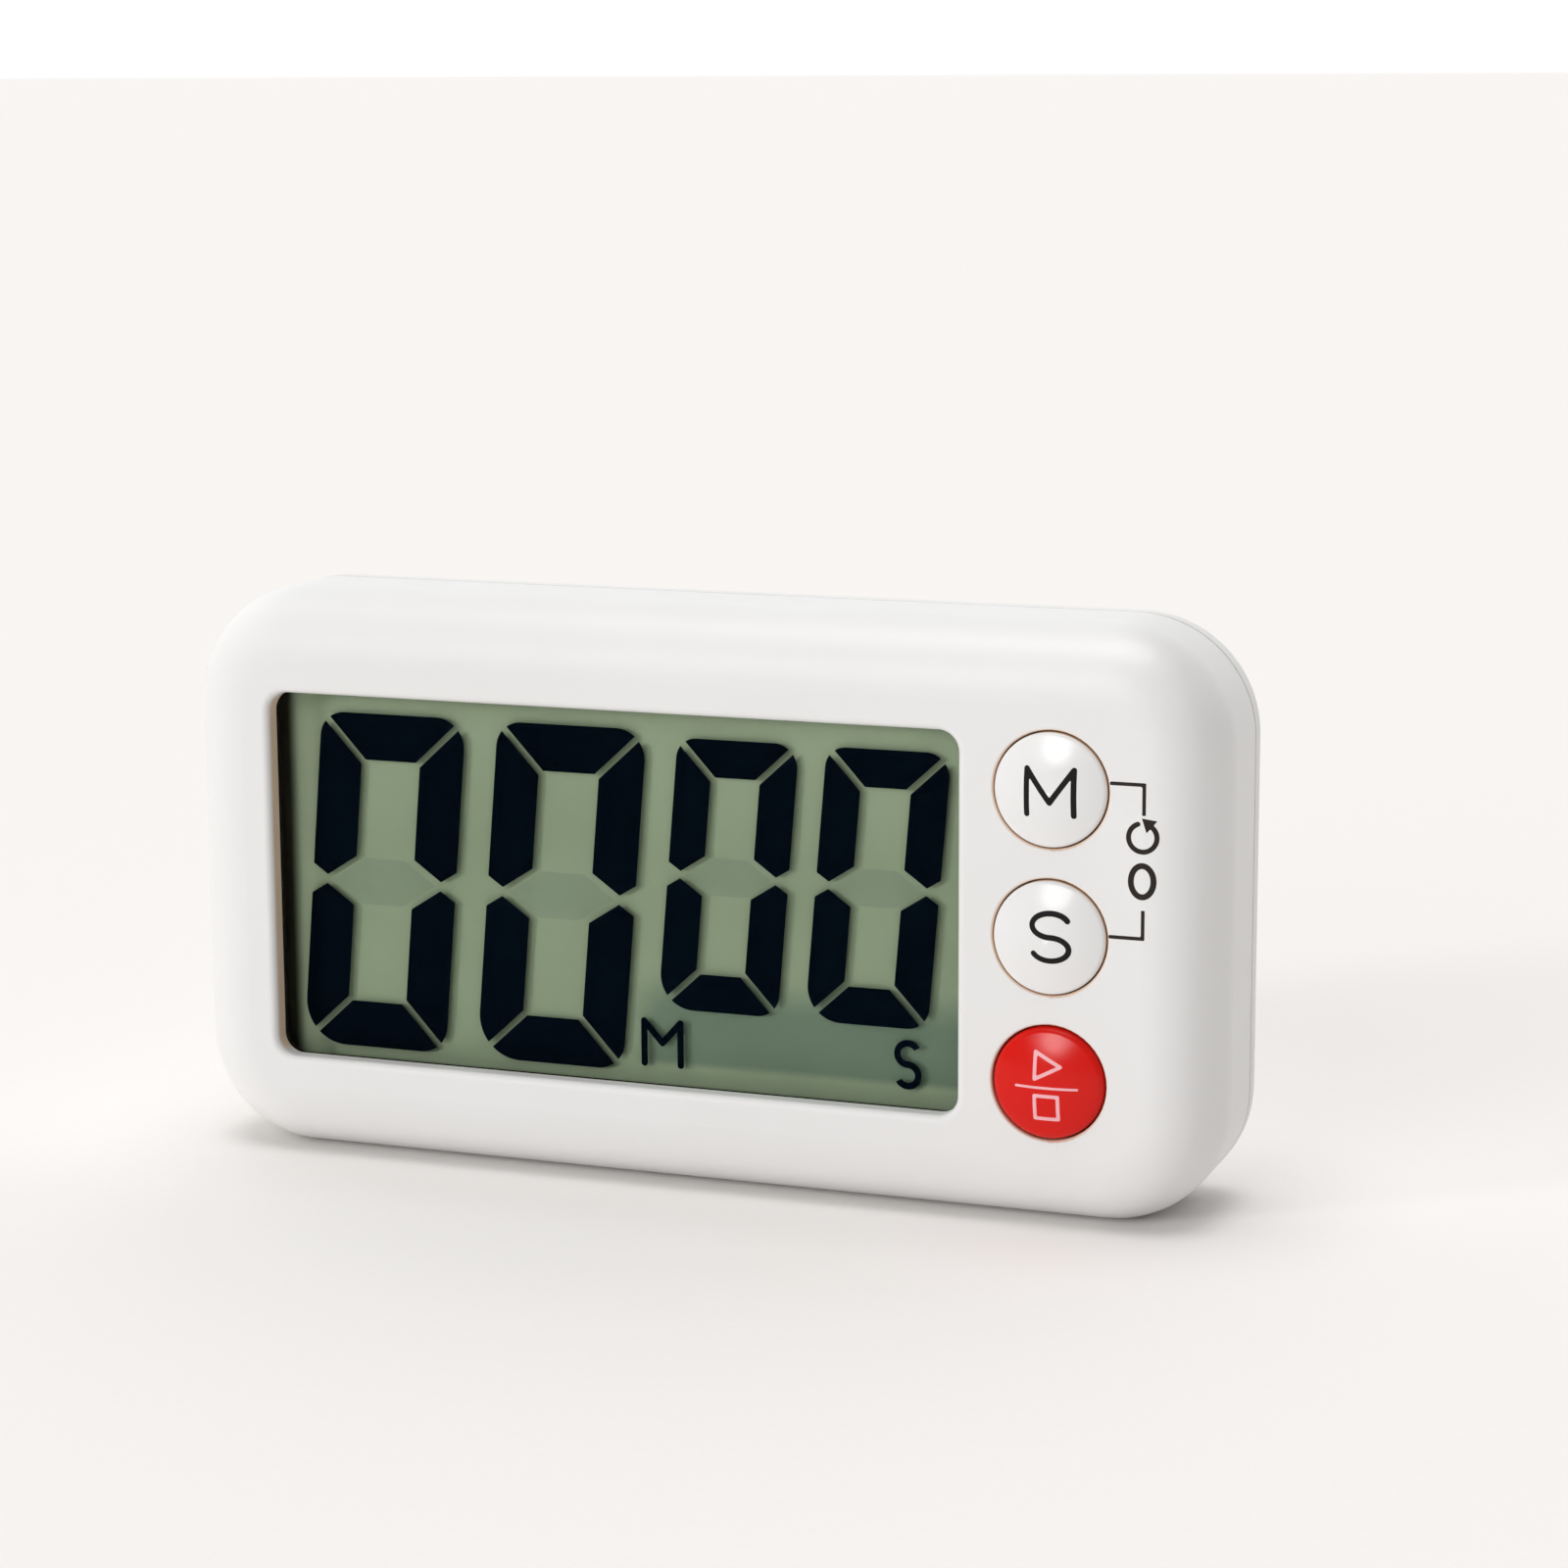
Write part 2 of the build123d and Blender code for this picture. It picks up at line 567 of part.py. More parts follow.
def numeral_zero(x, z, height):
    """A slanted figure zero of six bars, with the middle bar left out."""
    across, up = NUMERAL_WIDTH * height / 2, height / 2
    stroke = NUMERAL_STROKE * height
    inner, shoulder = across - stroke, up - stroke

    def slanted(points):
        return [(x + u + NUMERAL_SLANT * v, z + v) for u, v in points]

    corner_shares = (NUMERAL_BOTTOM_LEFT, NUMERAL_BOTTOM_RIGHT, NUMERAL_TOP_RIGHT, NUMERAL_TOP_LEFT)
    corner_radii = [share * height for share in corner_shares]
    corners = slanted([(-across, -up), (across, -up), (across, up), (-across, up)])
    with BuildLine() as outline:
        FilletPolyline(*corners, radius=corner_radii, close=True)
    make_face(outline.edges())
    counter = [(-inner, -shoulder), (inner, -shoulder), (inner, shoulder), (-inner, shoulder)]
    polygon(slanted(counter), Mode.SUBTRACT)

    outer_gap, tip_gap, inner_gap = [
        share * height for share in (WAIST_OUTER_GAP, WAIST_TIP_GAP, WAIST_INNER_GAP)
    ]
    slope = (WAIST_OUTER_GAP - WAIST_TIP_GAP) / WAIST_TIP_INSET
    mitre = SEGMENT_GAP / (2 * sqrt(2))
    for side in (-1, 1):
        # pointed gap between the upper and the lower bar
        waist = [
            (side * (across + OVERRUN), outer_gap + slope * OVERRUN),
            (side * (across - WAIST_TIP_INSET * height), tip_gap),
            (side * inner, inner_gap),
        ]
        waist += [(u, -v) for u, v in reversed(waist)]
        polygon(slanted(waist), Mode.SUBTRACT)
        # mitred gap at each of the corners
        for level in (-1, 1):
            start, end = -OVERRUN, stroke + OVERRUN
            strip = [
                (side * (inner + along + aside), level * (shoulder + along - aside))
                for along, aside in ((start, -mitre), (end, -mitre), (end, mitre), (start, mitre))
            ]
            polygon(slanted(strip), Mode.SUBTRACT)


def mark_bar(start, end):
    """One straight stroke of a mark, with rounded ends."""
    with BuildLine() as stroke:
        Line(start, end)
    trace(stroke.line, line_width=MARK_STROKE)
    with Locations(start, end):
        Circle(MARK_STROKE / 2)


def minute_mark(x, z):
    """The letter M."""
    left, right = span(x, (MARK_WIDTH - MARK_STROKE) / 2)
    bottom, top = span(z, (MARK_HEIGHT - MARK_STROKE) / 2)
    mark_bar((left, bottom), (left, top))
    mark_bar((left, top), (x, z))
    mark_bar((x, z), (right, top))
    mark_bar((right, top), (right, bottom))


def second_mark(x, z):
    """The letter S, of two arcs."""
    radius = (MARK_HEIGHT - MARK_STROKE) / 4
    for side, start in ((1, 30), (-1, 210)):
        with BuildLine() as stroke:
            CenterArc((x, z + side * radius), radius, start, 240)
        trace(stroke.line, line_width=MARK_STROKE)


with BuildPart() as lcd_segments:
    with BuildSketch(depth_plane(LIQUID_CRYSTAL[1])):
        for x in LARGE_NUMERALS_X:
            numeral_zero(WINDOW_X + x, WINDOW_Z + LARGE_NUMERALS_Z, LARGE_NUMERAL_HEIGHT)
        for x in SMALL_NUMERALS_X:
            numeral_zero(WINDOW_X + x, WINDOW_Z + SMALL_NUMERALS_Z, SMALL_NUMERAL_HEIGHT)
        minute_mark(WINDOW_X + MINUTE_MARK_X, WINDOW_Z + MARKS_Z)
        second_mark(WINDOW_X + SECOND_MARK_X, WINDOW_Z + MARKS_Z)
    extrude(amount=LIQUID_CRYSTAL_THICKNESS)
lcd_segments.part.label = "lcd_segments"
export_step(lcd_segments.part, "parts/lcd_segments.step")

with BuildPart() as lcd_holder:
    inside_zs = (GLASS_ZS[0] - HOLDER_GAP, LEDGE_ZS[1] + HOLDER_GAP)
    inside_xs = (GLASS_XS[0] - HOLDER_GAP, GLASS_XS[1] + HOLDER_GAP)
    outside_zs = (inside_zs[0] - HOLDER_WALL, inside_zs[1] + HOLDER_WALL)
    outside_xs = (inside_xs[0] - HOLDER_WALL, inside_xs[1] + HOLDER_WALL)
    ledge_front = REFLECTOR[1] + LIQUID_CRYSTAL_THICKNESS
    rounded_plate(outside_xs, outside_zs, HOLDER_CORNER, (GASKET_REAR, BOARD_FRONT))
    block(inside_xs, (GASKET_REAR, ledge_front), inside_zs, Mode.SUBTRACT)
    opening_xs = (inside_xs[0] + HOLDER_LEDGE, inside_xs[1] - HOLDER_LEDGE)
    opening_zs = (inside_zs[0] + HOLDER_LEDGE, GLASS_ZS[1] - HOLDER_LEDGE / 2)
    block(opening_xs, (ledge_front, BOARD_FRONT), opening_zs, Mode.SUBTRACT)
    zebra_slot = span(WINDOW_X, ZEBRA_HALF_LENGTH + HOLDER_GAP)
    zebra_up = (ZEBRA_ZS[0] - HOLDER_GAP, ZEBRA_ZS[1] + HOLDER_GAP)
    block(zebra_slot, (ledge_front, BOARD_FRONT), zebra_up, Mode.SUBTRACT)
lcd_holder.part.label = "lcd_holder"
export_step(lcd_holder.part, "parts/lcd_holder.step")

with BuildPart() as zebra_connector:
    block(span(WINDOW_X, ZEBRA_HALF_LENGTH), (FRONT_GLASS[1], BOARD_FRONT), ZEBRA_ZS)
zebra_connector.part.label = "zebra_connector"
export_step(zebra_connector.part, "parts/zebra_connector.step")

# ---------------------------------------------------------------- buttons and keypad


def button_cap(x, z, crown, rim, rim_round):
    """A domed cap on a flange, with a stem at its middle that presses the keypad."""
    flange_front = WALL + FLANGE_CLEARANCE
    flange_rear = flange_front + FLANGE_THICKNESS
    hollow = BUTTON_RADIUS - BUTTON_WALL
    with BuildSketch(profile_plane(x, z)) as profile:
        with BuildLine():
            TangentArc((0, -crown), (BUTTON_RADIUS, -rim), tangent=(1, 0))
            Polyline(
                (BUTTON_RADIUS, -rim),
                (BUTTON_RADIUS, flange_front),
                (FLANGE_RADIUS, flange_front),
                (FLANGE_RADIUS, flange_rear),
                (hollow, flange_rear),
                (hollow, BUTTON_CEILING),
                (STEM_RADIUS, BUTTON_CEILING),
                (STEM_RADIUS, STEM_END),
                (0, STEM_END),
                (0, -crown),
            )
        make_face()
    revolve(profile.sketch, axis=turning_axis(x, z))


for name, z, crown, rim, rim_round in (
    ("minute_button", MINUTE_Z, BUTTON_CROWN, BUTTON_RIM, BUTTON_RIM_ROUND),
    ("second_button", SECOND_Z, BUTTON_CROWN, BUTTON_RIM, BUTTON_RIM_ROUND),
    ("start_button", START_Z, START_CROWN, START_RIM, START_RIM_ROUND),
):
    with BuildPart() as button:
        button_cap(BUTTON_X, z, crown, rim, rim_round)
        rim_edge = button.edges().filter_by(Plane.XZ).sort_by(Axis.Y)[0]
        fillet(rim_edge, rim_round)
    button.part.label = name
    export_step(button.part, f"parts/{name}.step")

for name, z in (("minute_contact", MINUTE_Z), ("second_contact", SECOND_Z), ("start_contact", START_Z)):
    with BuildPart() as contact:
        disc(BUTTON_X, z, CONTACT_RADIUS, (CONTACT_BOSS_END, CONTACT_BOSS_END + CONTACT_THICKNESS))
    contact.part.label = name
    export_step(contact.part, f"parts/{name}.step")

with BuildPart() as keypad:
    keypad_front = BOARD_FRONT - KEYPAD_THICKNESS
    keypad_zs = (START_Z - KEYPAD_END, MINUTE_Z + KEYPAD_END)
    keypad_xs = span(BUTTON_X, KEYPAD_HALF_WIDTH)
    rounded_plate(keypad_xs, keypad_zs, KEYPAD_CORNER, (keypad_front, BOARD_FRONT))
    inner_rim = DOME_RIM_RADIUS - DOME_RIM_WIDTH
    for z in BUTTONS_Z:
        disc(BUTTON_X, z, DOME_SKIRT_RADIUS, (keypad_front, BOARD_FRONT), Mode.SUBTRACT)
    for z in BUTTONS_Z:
        with BuildSketch(profile_plane(BUTTON_X, z)):
            with BuildLine():
                Polyline(
                    (0, DOME_TOP),
                    (DOME_TOP_RADIUS, DOME_TOP),
                    (DOME_SKIRT_RADIUS, keypad_front),
                    (DOME_RIM_RADIUS, keypad_front),
                    (DOME_RIM_RADIUS, BOARD_FRONT),
                    (inner_rim, BOARD_FRONT),
                    (inner_rim, keypad_front + DOME_WEB),
                    (DOME_TOP_RADIUS - DOME_WEB, DOME_CEILING),
                    (CONTACT_BOSS_RADIUS, DOME_CEILING),
                    (CONTACT_BOSS_RADIUS, CONTACT_BOSS_END),
                    (0, CONTACT_BOSS_END),
                    close=True,
                )
            make_face()
        revolve(axis=turning_axis(BUTTON_X, z))
keypad.part.label = "keypad"
export_step(keypad.part, "parts/keypad.step")

# ---------------------------------------------------------------- circuit board

with BuildPart() as main_pcb:
    outline_plate(BOARD_INSET, (BOARD_FRONT, BOARD_REAR))
    for x, z in SCREW_PLACES:
        boss_hole = FRONT_BOSS_RADIUS + BOARD_BOSS_CLEARANCE
        disc(x, z, boss_hole, (BOARD_FRONT, BOARD_REAR), Mode.SUBTRACT)
    for x, z in POST_PLACES:
        screw_hole = BOARD_SCREW_RADIUS + BOARD_SCREW_CLEARANCE
        disc(x, z, screw_hole, (BOARD_FRONT, BOARD_REAR), Mode.SUBTRACT)
    tab_slots((BOARD_FRONT, BOARD_REAR))
main_pcb.part.label = "main_pcb"
export_step(main_pcb.part, "parts/main_pcb.step")

with BuildPart() as button_pads:
    for z in BUTTONS_Z:
        disc(BUTTON_X, z, PAD_RADIUS, (BOARD_FRONT - PAD_THICKNESS, BOARD_FRONT))
button_pads.part.label = "button_pads"
export_step(button_pads.part, "parts/button_pads.step")

with BuildPart() as controller_blob:
    with BuildSketch(profile_plane(CONTROLLER_X, CONTROLLER_Z)):
        with BuildLine():
            blob_top = BOARD_REAR + CONTROLLER_HEIGHT
            TangentArc((0, blob_top), (CONTROLLER_RADIUS, BOARD_REAR), tangent=(1, 0))
            Polyline((CONTROLLER_RADIUS, BOARD_REAR), (0, BOARD_REAR), (0, blob_top))
        make_face()
    revolve(axis=turning_axis(CONTROLLER_X, CONTROLLER_Z))
controller_blob.part.label = "controller_blob"
export_step(controller_blob.part, "parts/controller_blob.step")

with BuildPart() as clock_crystal:
    cross_bar(CRYSTAL_X, BOARD_REAR + CRYSTAL_RADIUS, CRYSTAL_Z, CRYSTAL_RADIUS, CRYSTAL_LENGTH)
clock_crystal.part.label = "clock_crystal"
export_step(clock_crystal.part, "parts/clock_crystal.step")

with BuildPart() as chip_components:
    for x in CHIPS_X:
        for z in CHIPS_Z:
            chip_depths = (BOARD_REAR, BOARD_REAR + CHIP_HEIGHT)
            block(span(x, CHIP_LENGTH / 2), chip_depths, span(z, CHIP_WIDTH / 2))
chip_components.part.label = "chip_components"
export_step(chip_components.part, "parts/chip_components.step")

with BuildPart() as buzzer_coil:
    disc(COIL_X, COIL_Z, COIL_RADIUS, (BOARD_REAR, BOARD_REAR + COIL_HEIGHT))
buzzer_coil.part.label = "buzzer_coil"
export_step(buzzer_coil.part, "parts/buzzer_coil.step")

# ---------------------------------------------------------------- buzzer and its wires

CERAMIC_FRONT = BUZZER_DEPTH - BUZZER_THICKNESS

with BuildPart() as buzzer_plate:
    disc(BUZZER_X, BUZZER_Z, BUZZER_RADIUS, (BUZZER_DEPTH, BUZZER_DEPTH + BUZZER_THICKNESS))
buzzer_plate.part.label = "buzzer_plate"
export_step(buzzer_plate.part, "parts/buzzer_plate.step")

with BuildPart() as buzzer_ceramic:
    disc(BUZZER_X, BUZZER_Z, CERAMIC_RADIUS, (CERAMIC_FRONT, BUZZER_DEPTH))
buzzer_ceramic.part.label = "buzzer_ceramic"
export_step(buzzer_ceramic.part, "parts/buzzer_ceramic.step")

for name, start, end, start_depth in (
    ("red_wire", RED_WIRE_START, RED_WIRE_END, CERAMIC_FRONT),
    ("black_wire", BLACK_WIRE_START, BLACK_WIRE_END, BUZZER_DEPTH),
):
    with BuildPart() as wire:
        with BuildLine() as route:
            FilletPolyline(
                place(start[0], start_depth, start[1]),
                place(start[0], WIRE_RUN_DEPTH, start[1]),
                place(end[0], WIRE_RUN_DEPTH, end[1]),
                place(end[0], BOARD_REAR, end[1]),
                radius=WIRE_BEND,
            )
        with BuildSketch(Plane(origin=route.line @ 0, z_dir=route.line % 0)):
            Circle(WIRE_RADIUS)
        sweep(path=route.line)
    wire.part.label = name
    export_step(wire.part, f"parts/{name}.step")

# ---------------------------------------------------------------- battery and contacts

CAN_LENGTH = CAN_RIGHT - CELL_LEFT
CAN_X = (CAN_RIGHT + CELL_LEFT) / 2

with BuildPart() as battery:
    cross_bar(CAN_X, CELL_DEPTH, BAY_Z, CAN_RADIUS, CAN_LENGTH)
    fillet(battery.edges().filter_by(GeomType.CIRCLE), CELL_CAN_WALL)
    nub_x = CELL_RIGHT - CELL_NUB_LENGTH
    cross_bar((nub_x + CELL_RIGHT) / 2, CELL_DEPTH, BAY_Z, CELL_NUB_RADIUS, CELL_NUB_LENGTH)
    fillet(battery.edges().filter_by(GeomType.CIRCLE).sort_by(Axis.X)[-1], CELL_CAN_WALL)
    hollow = CAN_LENGTH - 2 * CELL_CAN_WALL
    cross_bar(CAN_X, CELL_DEPTH, BAY_Z, CAN_RADIUS - CELL_CAN_WALL, hollow, Mode.SUBTRACT)
battery.part.label = "battery"
export_step(battery.part, "parts/battery.step")

with BuildPart() as battery_core:
    core_length = CAN_LENGTH - 2 * CELL_CAN_WALL
    cross_bar(CAN_X, CELL_DEPTH, BAY_Z, CAN_RADIUS - CELL_CAN_WALL, core_length)
battery_core.part.label = "battery_core"
export_step(battery_core.part, "parts/battery_core.step")

with BuildPart() as battery_label:
    sleeve = CAN_LENGTH - 2 * CELL_SLEEVE_INSET
    cross_bar(CAN_X, CELL_DEPTH, BAY_Z, CELL_RADIUS, sleeve)
    cross_bar(CAN_X, CELL_DEPTH, BAY_Z, CAN_RADIUS, sleeve, Mode.SUBTRACT)
battery_label.part.label = "battery_label"
export_step(battery_label.part, "parts/battery_label.step")


def contact_plate(side):
    """A flat contact against the end of the battery bay, with a tab that is soldered to the board."""
    plate_depths = span(CELL_DEPTH, PLATE_HALF_WIDTH)
    block(contact_span(side), plate_depths, span(BAY_Z, PLATE_HALF_WIDTH))
    block(contact_span(side), (TAB_END, plate_depths[0]), span(BAY_Z, TAB_HALF_WIDTH))


with BuildPart() as positive_contact:
    contact_plate(1)
    dimple_x = CELL_RIGHT + PLATE_THICKNESS / 2
    cross_bar(dimple_x, CELL_DEPTH, BAY_Z, PLATE_DIMPLE_RADIUS, PLATE_THICKNESS)
positive_contact.part.label = "positive_contact"
export_step(positive_contact.part, "parts/positive_contact.step")

with BuildPart() as negative_contact:
    contact_plate(-1)
negative_contact.part.label = "negative_contact"
export_step(negative_contact.part, "parts/negative_contact.step")

with BuildPart() as negative_spring:
    spring_start = BAY_LEFT + PLATE_THICKNESS + SPRING_WIRE_RADIUS
    spring_length = CELL_LEFT - SPRING_WIRE_RADIUS - spring_start
    taper = degrees(atan((SPRING_BASE_RADIUS - SPRING_TIP_RADIUS) / spring_length))
    with BuildLine() as coil:
        Helix(
            pitch=spring_length / SPRING_TURNS,
            height=spring_length,
            radius=SPRING_BASE_RADIUS,
            center=place(spring_start, CELL_DEPTH, BAY_Z),
            direction=(1, 0, 0),
            cone_angle=-taper,
        )
    with BuildSketch(Plane(origin=coil.line @ 0, z_dir=coil.line % 0)):
        Circle(SPRING_WIRE_RADIUS)
    sweep(path=coil.line, is_frenet=True)
negative_spring.part.label = "negative_spring"
export_step(negative_spring.part, "parts/negative_spring.step")

# ---------------------------------------------------------------- battery door

with BuildPart() as battery_door:
    door = (-CASE_WIDTH / 2, DOOR_RIGHT)
    block(door, (DOOR_PLATE_FRONT, CASE_DEPTH), span(BAY_Z, DOOR_HALF_WIDTH))
    flange = (DOOR_FLANGE_FRONT, DOOR_PLATE_FRONT)
    for side in (-1, 1):
        edges = sorted((BAY_Z + side * DOOR_FLANGE_INNER, BAY_Z + side * DOOR_FLANGE_HALF_WIDTH))
        block(door, flange, edges)
    # end that closes the mouth of the slot
    door_end = BAY_LEFT - 2 * DOOR_GAP
    block((-CASE_WIDTH / 2, door_end), flange, span(BAY_Z, DOOR_FLANGE_INNER))
    add(case_form.part, mode=Mode.INTERSECT)
    # hollow along the cell, and grip grooves near the end of the case
    hollow = (DOOR_PLATE_FRONT, CELL_DEPTH + CELL_RADIUS + DOOR_GAP)
    block((door_end, DOOR_RIGHT), hollow, span(BAY_Z, DOOR_RELIEF_HALF_WIDTH), Mode.SUBTRACT)
    for step in range(GRIP_COUNT):
        groove_x = GRIP_START_X + step * GRIP_PITCH
        with Locations(place(groove_x, CASE_DEPTH + GRIP_RADIUS - GRIP_DEPTH, BAY_Z)):
            Cylinder(GRIP_RADIUS, GRIP_LENGTH, mode=Mode.SUBTRACT)
    # sunk arrow that points the way the door slides off
    with BuildSketch(depth_plane(CASE_DEPTH)) as arrow:
        arrow_base = ARROW_TIP_X + ARROW_LENGTH
        polygon([
            (ARROW_TIP_X, BAY_Z),
            (arrow_base, BAY_Z - ARROW_HALF_WIDTH),
            (arrow_base, BAY_Z + ARROW_HALF_WIDTH),
        ])
    extrude(arrow.sketch, amount=ARROW_DEPTH, mode=Mode.SUBTRACT)
battery_door.part.label = "battery_door"
export_step(battery_door.part, "parts/battery_door.step")

# ---------------------------------------------------------------- stand

with BuildPart() as stand:
    across = span(0, STAND_HALF_WIDTH)
    block(across, (STAND_FRONT, STAND_REAR), (STAND_TIP_Z, STAND_AXIS_Z))
    fillet(stand.edges().filter_by(Axis.Y).group_by(Axis.Z)[0], STAND_CORNER)
    # finger notch in the free edge
    notch = span(STAND_TIP_Z, NOTCH_HEIGHT)
    through = (STAND_FRONT - OVERRUN, STAND_REAR + OVERRUN)
    rounded_plate(span(0, NOTCH_HALF_WIDTH), notch, NOTCH_CORNER, through, Mode.SUBTRACT)
    outer_edges = stand.faces().sort_by(Axis.Y)[-1].edges().sort_by(Axis.Z)[:-1]
    fillet(outer_edges, STAND_EDGE_ROUND)
    # knuckle and pins
    cross_bar(0, STAND_AXIS_DEPTH, STAND_AXIS_Z, STAND_KNUCKLE_RADIUS, 2 * STAND_HALF_WIDTH)
    cross_bar(0, STAND_AXIS_DEPTH, STAND_AXIS_Z, STAND_PIN_RADIUS, 2 * STAND_PIN_REACH)
stand.part.label = "stand"
export_step(stand.part, "parts/stand.step")

# ---------------------------------------------------------------- magnets and screws

for name, side in (("left_magnet", -1), ("right_magnet", 1)):
    with BuildPart() as magnet:
        disc(side * MAGNET_X, MAGNET_Z, MAGNET_RADIUS, (MAGNET_FRONT, MAGNET_REAR))
        chamfer(magnet.faces().sort_by(Axis.Y)[-1].edges(), MAGNET_CHAMFER)
    magnet.part.label = name
    export_step(magnet.part, f"parts/{name}.step")


def screw(x, z, seat, length, radius, head_radius, head_height):
    """A screw driven in from the rear, with a cross recess in its head."""
    disc(x, z, radius, (seat - length, seat))
    disc(x, z, head_radius, (seat, seat + head_height))
    recess = (seat + head_height / 2, seat + head_height)
    long_way, short_way = head_radius * 0.65, head_radius * 0.14
    block(span(x, long_way), recess, span(z, short_way), Mode.SUBTRACT)
    block(span(x, short_way), recess, span(z, long_way), Mode.SUBTRACT)


with BuildPart() as case_screws:
    for x, z in SCREW_PLACES:
        screw(x, z, SCREW_SEAT, SCREW_LENGTH, SCREW_RADIUS, SCREW_HEAD_RADIUS, SCREW_HEAD_HEIGHT)
case_screws.part.label = "case_screws"
export_step(case_screws.part, "parts/case_screws.step")

with BuildPart() as pcb_screws:
    for x, z in POST_PLACES:
        head = (BOARD_SCREW_HEAD_RADIUS, BOARD_SCREW_HEAD_HEIGHT)
        screw(x, z, BOARD_REAR, BOARD_SCREW_LENGTH, BOARD_SCREW_RADIUS, *head)
pcb_screws.part.label = "pcb_screws"
export_step(pcb_screws.part, "parts/pcb_screws.step")
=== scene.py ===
import math

import bmesh
import bpy
from mathutils import Matrix, Vector
from mathutils.bvhtree import BVHTree


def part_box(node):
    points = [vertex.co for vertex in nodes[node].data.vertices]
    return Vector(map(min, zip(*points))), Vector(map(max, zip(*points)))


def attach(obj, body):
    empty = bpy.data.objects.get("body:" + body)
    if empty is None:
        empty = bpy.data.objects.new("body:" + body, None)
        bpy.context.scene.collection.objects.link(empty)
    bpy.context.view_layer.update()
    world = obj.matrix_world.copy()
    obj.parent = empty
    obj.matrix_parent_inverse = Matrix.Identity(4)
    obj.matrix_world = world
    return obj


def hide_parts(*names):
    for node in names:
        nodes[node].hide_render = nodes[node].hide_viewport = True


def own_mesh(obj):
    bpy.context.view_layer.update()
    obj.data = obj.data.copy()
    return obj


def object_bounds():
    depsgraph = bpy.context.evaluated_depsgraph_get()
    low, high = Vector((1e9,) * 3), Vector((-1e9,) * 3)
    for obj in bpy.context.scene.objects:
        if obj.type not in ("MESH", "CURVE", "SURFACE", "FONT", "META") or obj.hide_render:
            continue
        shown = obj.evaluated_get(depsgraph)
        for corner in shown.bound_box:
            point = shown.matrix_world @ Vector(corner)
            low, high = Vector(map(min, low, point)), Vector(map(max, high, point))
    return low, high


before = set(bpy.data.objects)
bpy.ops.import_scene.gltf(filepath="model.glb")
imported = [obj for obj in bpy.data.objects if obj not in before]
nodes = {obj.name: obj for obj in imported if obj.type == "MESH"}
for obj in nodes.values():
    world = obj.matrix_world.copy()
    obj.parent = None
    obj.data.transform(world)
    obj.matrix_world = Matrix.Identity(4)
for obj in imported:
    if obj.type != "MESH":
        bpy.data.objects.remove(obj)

MM = 0.001
NOISE_LOW, NOISE_HIGH = 0.3, 0.7  # the stretch that a noise texture mostly keeps to
CAD_LOW, CAD_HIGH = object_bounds()


def centre_of(node):
    """Middle of a CAD node's box."""
    low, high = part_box(node)
    return (low + high) / 2


FRONT_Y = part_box("front_case")[0].y
WINDOW = centre_of("display_window")
WINDOW_SPAN = (33.9 * MM, 17.6 * MM)  # half the opening's width and height
WINDOW_LEFT = WINDOW.x - WINDOW_SPAN[0]
MINUTE = centre_of("minute_button")
SECOND = centre_of("second_button")
START = centre_of("start_button")

# ---------------------------------------------------------------- camera

CAMERA_OFFSET = Vector((134.5, -315.2, 74.7)) * MM
CAMERA_HEADING = math.radians(20.349)
CAMERA_TILT = math.radians(-10.597)
CAMERA_ROLL = math.radians(-0.29)
CAMERA_LENS = 88.47
SENSOR_WIDTH = 36.0
CLIP_NEAR, CLIP_FAR = 0.01, 50.0

camera_data = bpy.data.cameras.new("photo_camera")
camera_data.lens = CAMERA_LENS
camera_data.sensor_width = SENSOR_WIDTH
camera_data.clip_start = CLIP_NEAR
camera_data.clip_end = CLIP_FAR
camera = bpy.data.objects.new("photo_camera", camera_data)
bpy.context.scene.collection.objects.link(camera)
turn = (
    Matrix.Rotation(CAMERA_HEADING, 4, "Z")
    @ Matrix.Rotation(math.pi / 2 + CAMERA_TILT, 4, "X")
    @ Matrix.Rotation(CAMERA_ROLL, 4, "Z")
)
camera.matrix_world = Matrix.Translation(Vector((WINDOW.x, FRONT_Y, WINDOW.z)) + CAMERA_OFFSET) @ turn
bpy.context.scene.camera = camera

# ---------------------------------------------------------------- node helpers


def with_alpha(colour):
    """An opaque colour where three plain numbers are given, and a socket as it is."""
    return (*colour, 1.0) if isinstance(colour, tuple) else colour


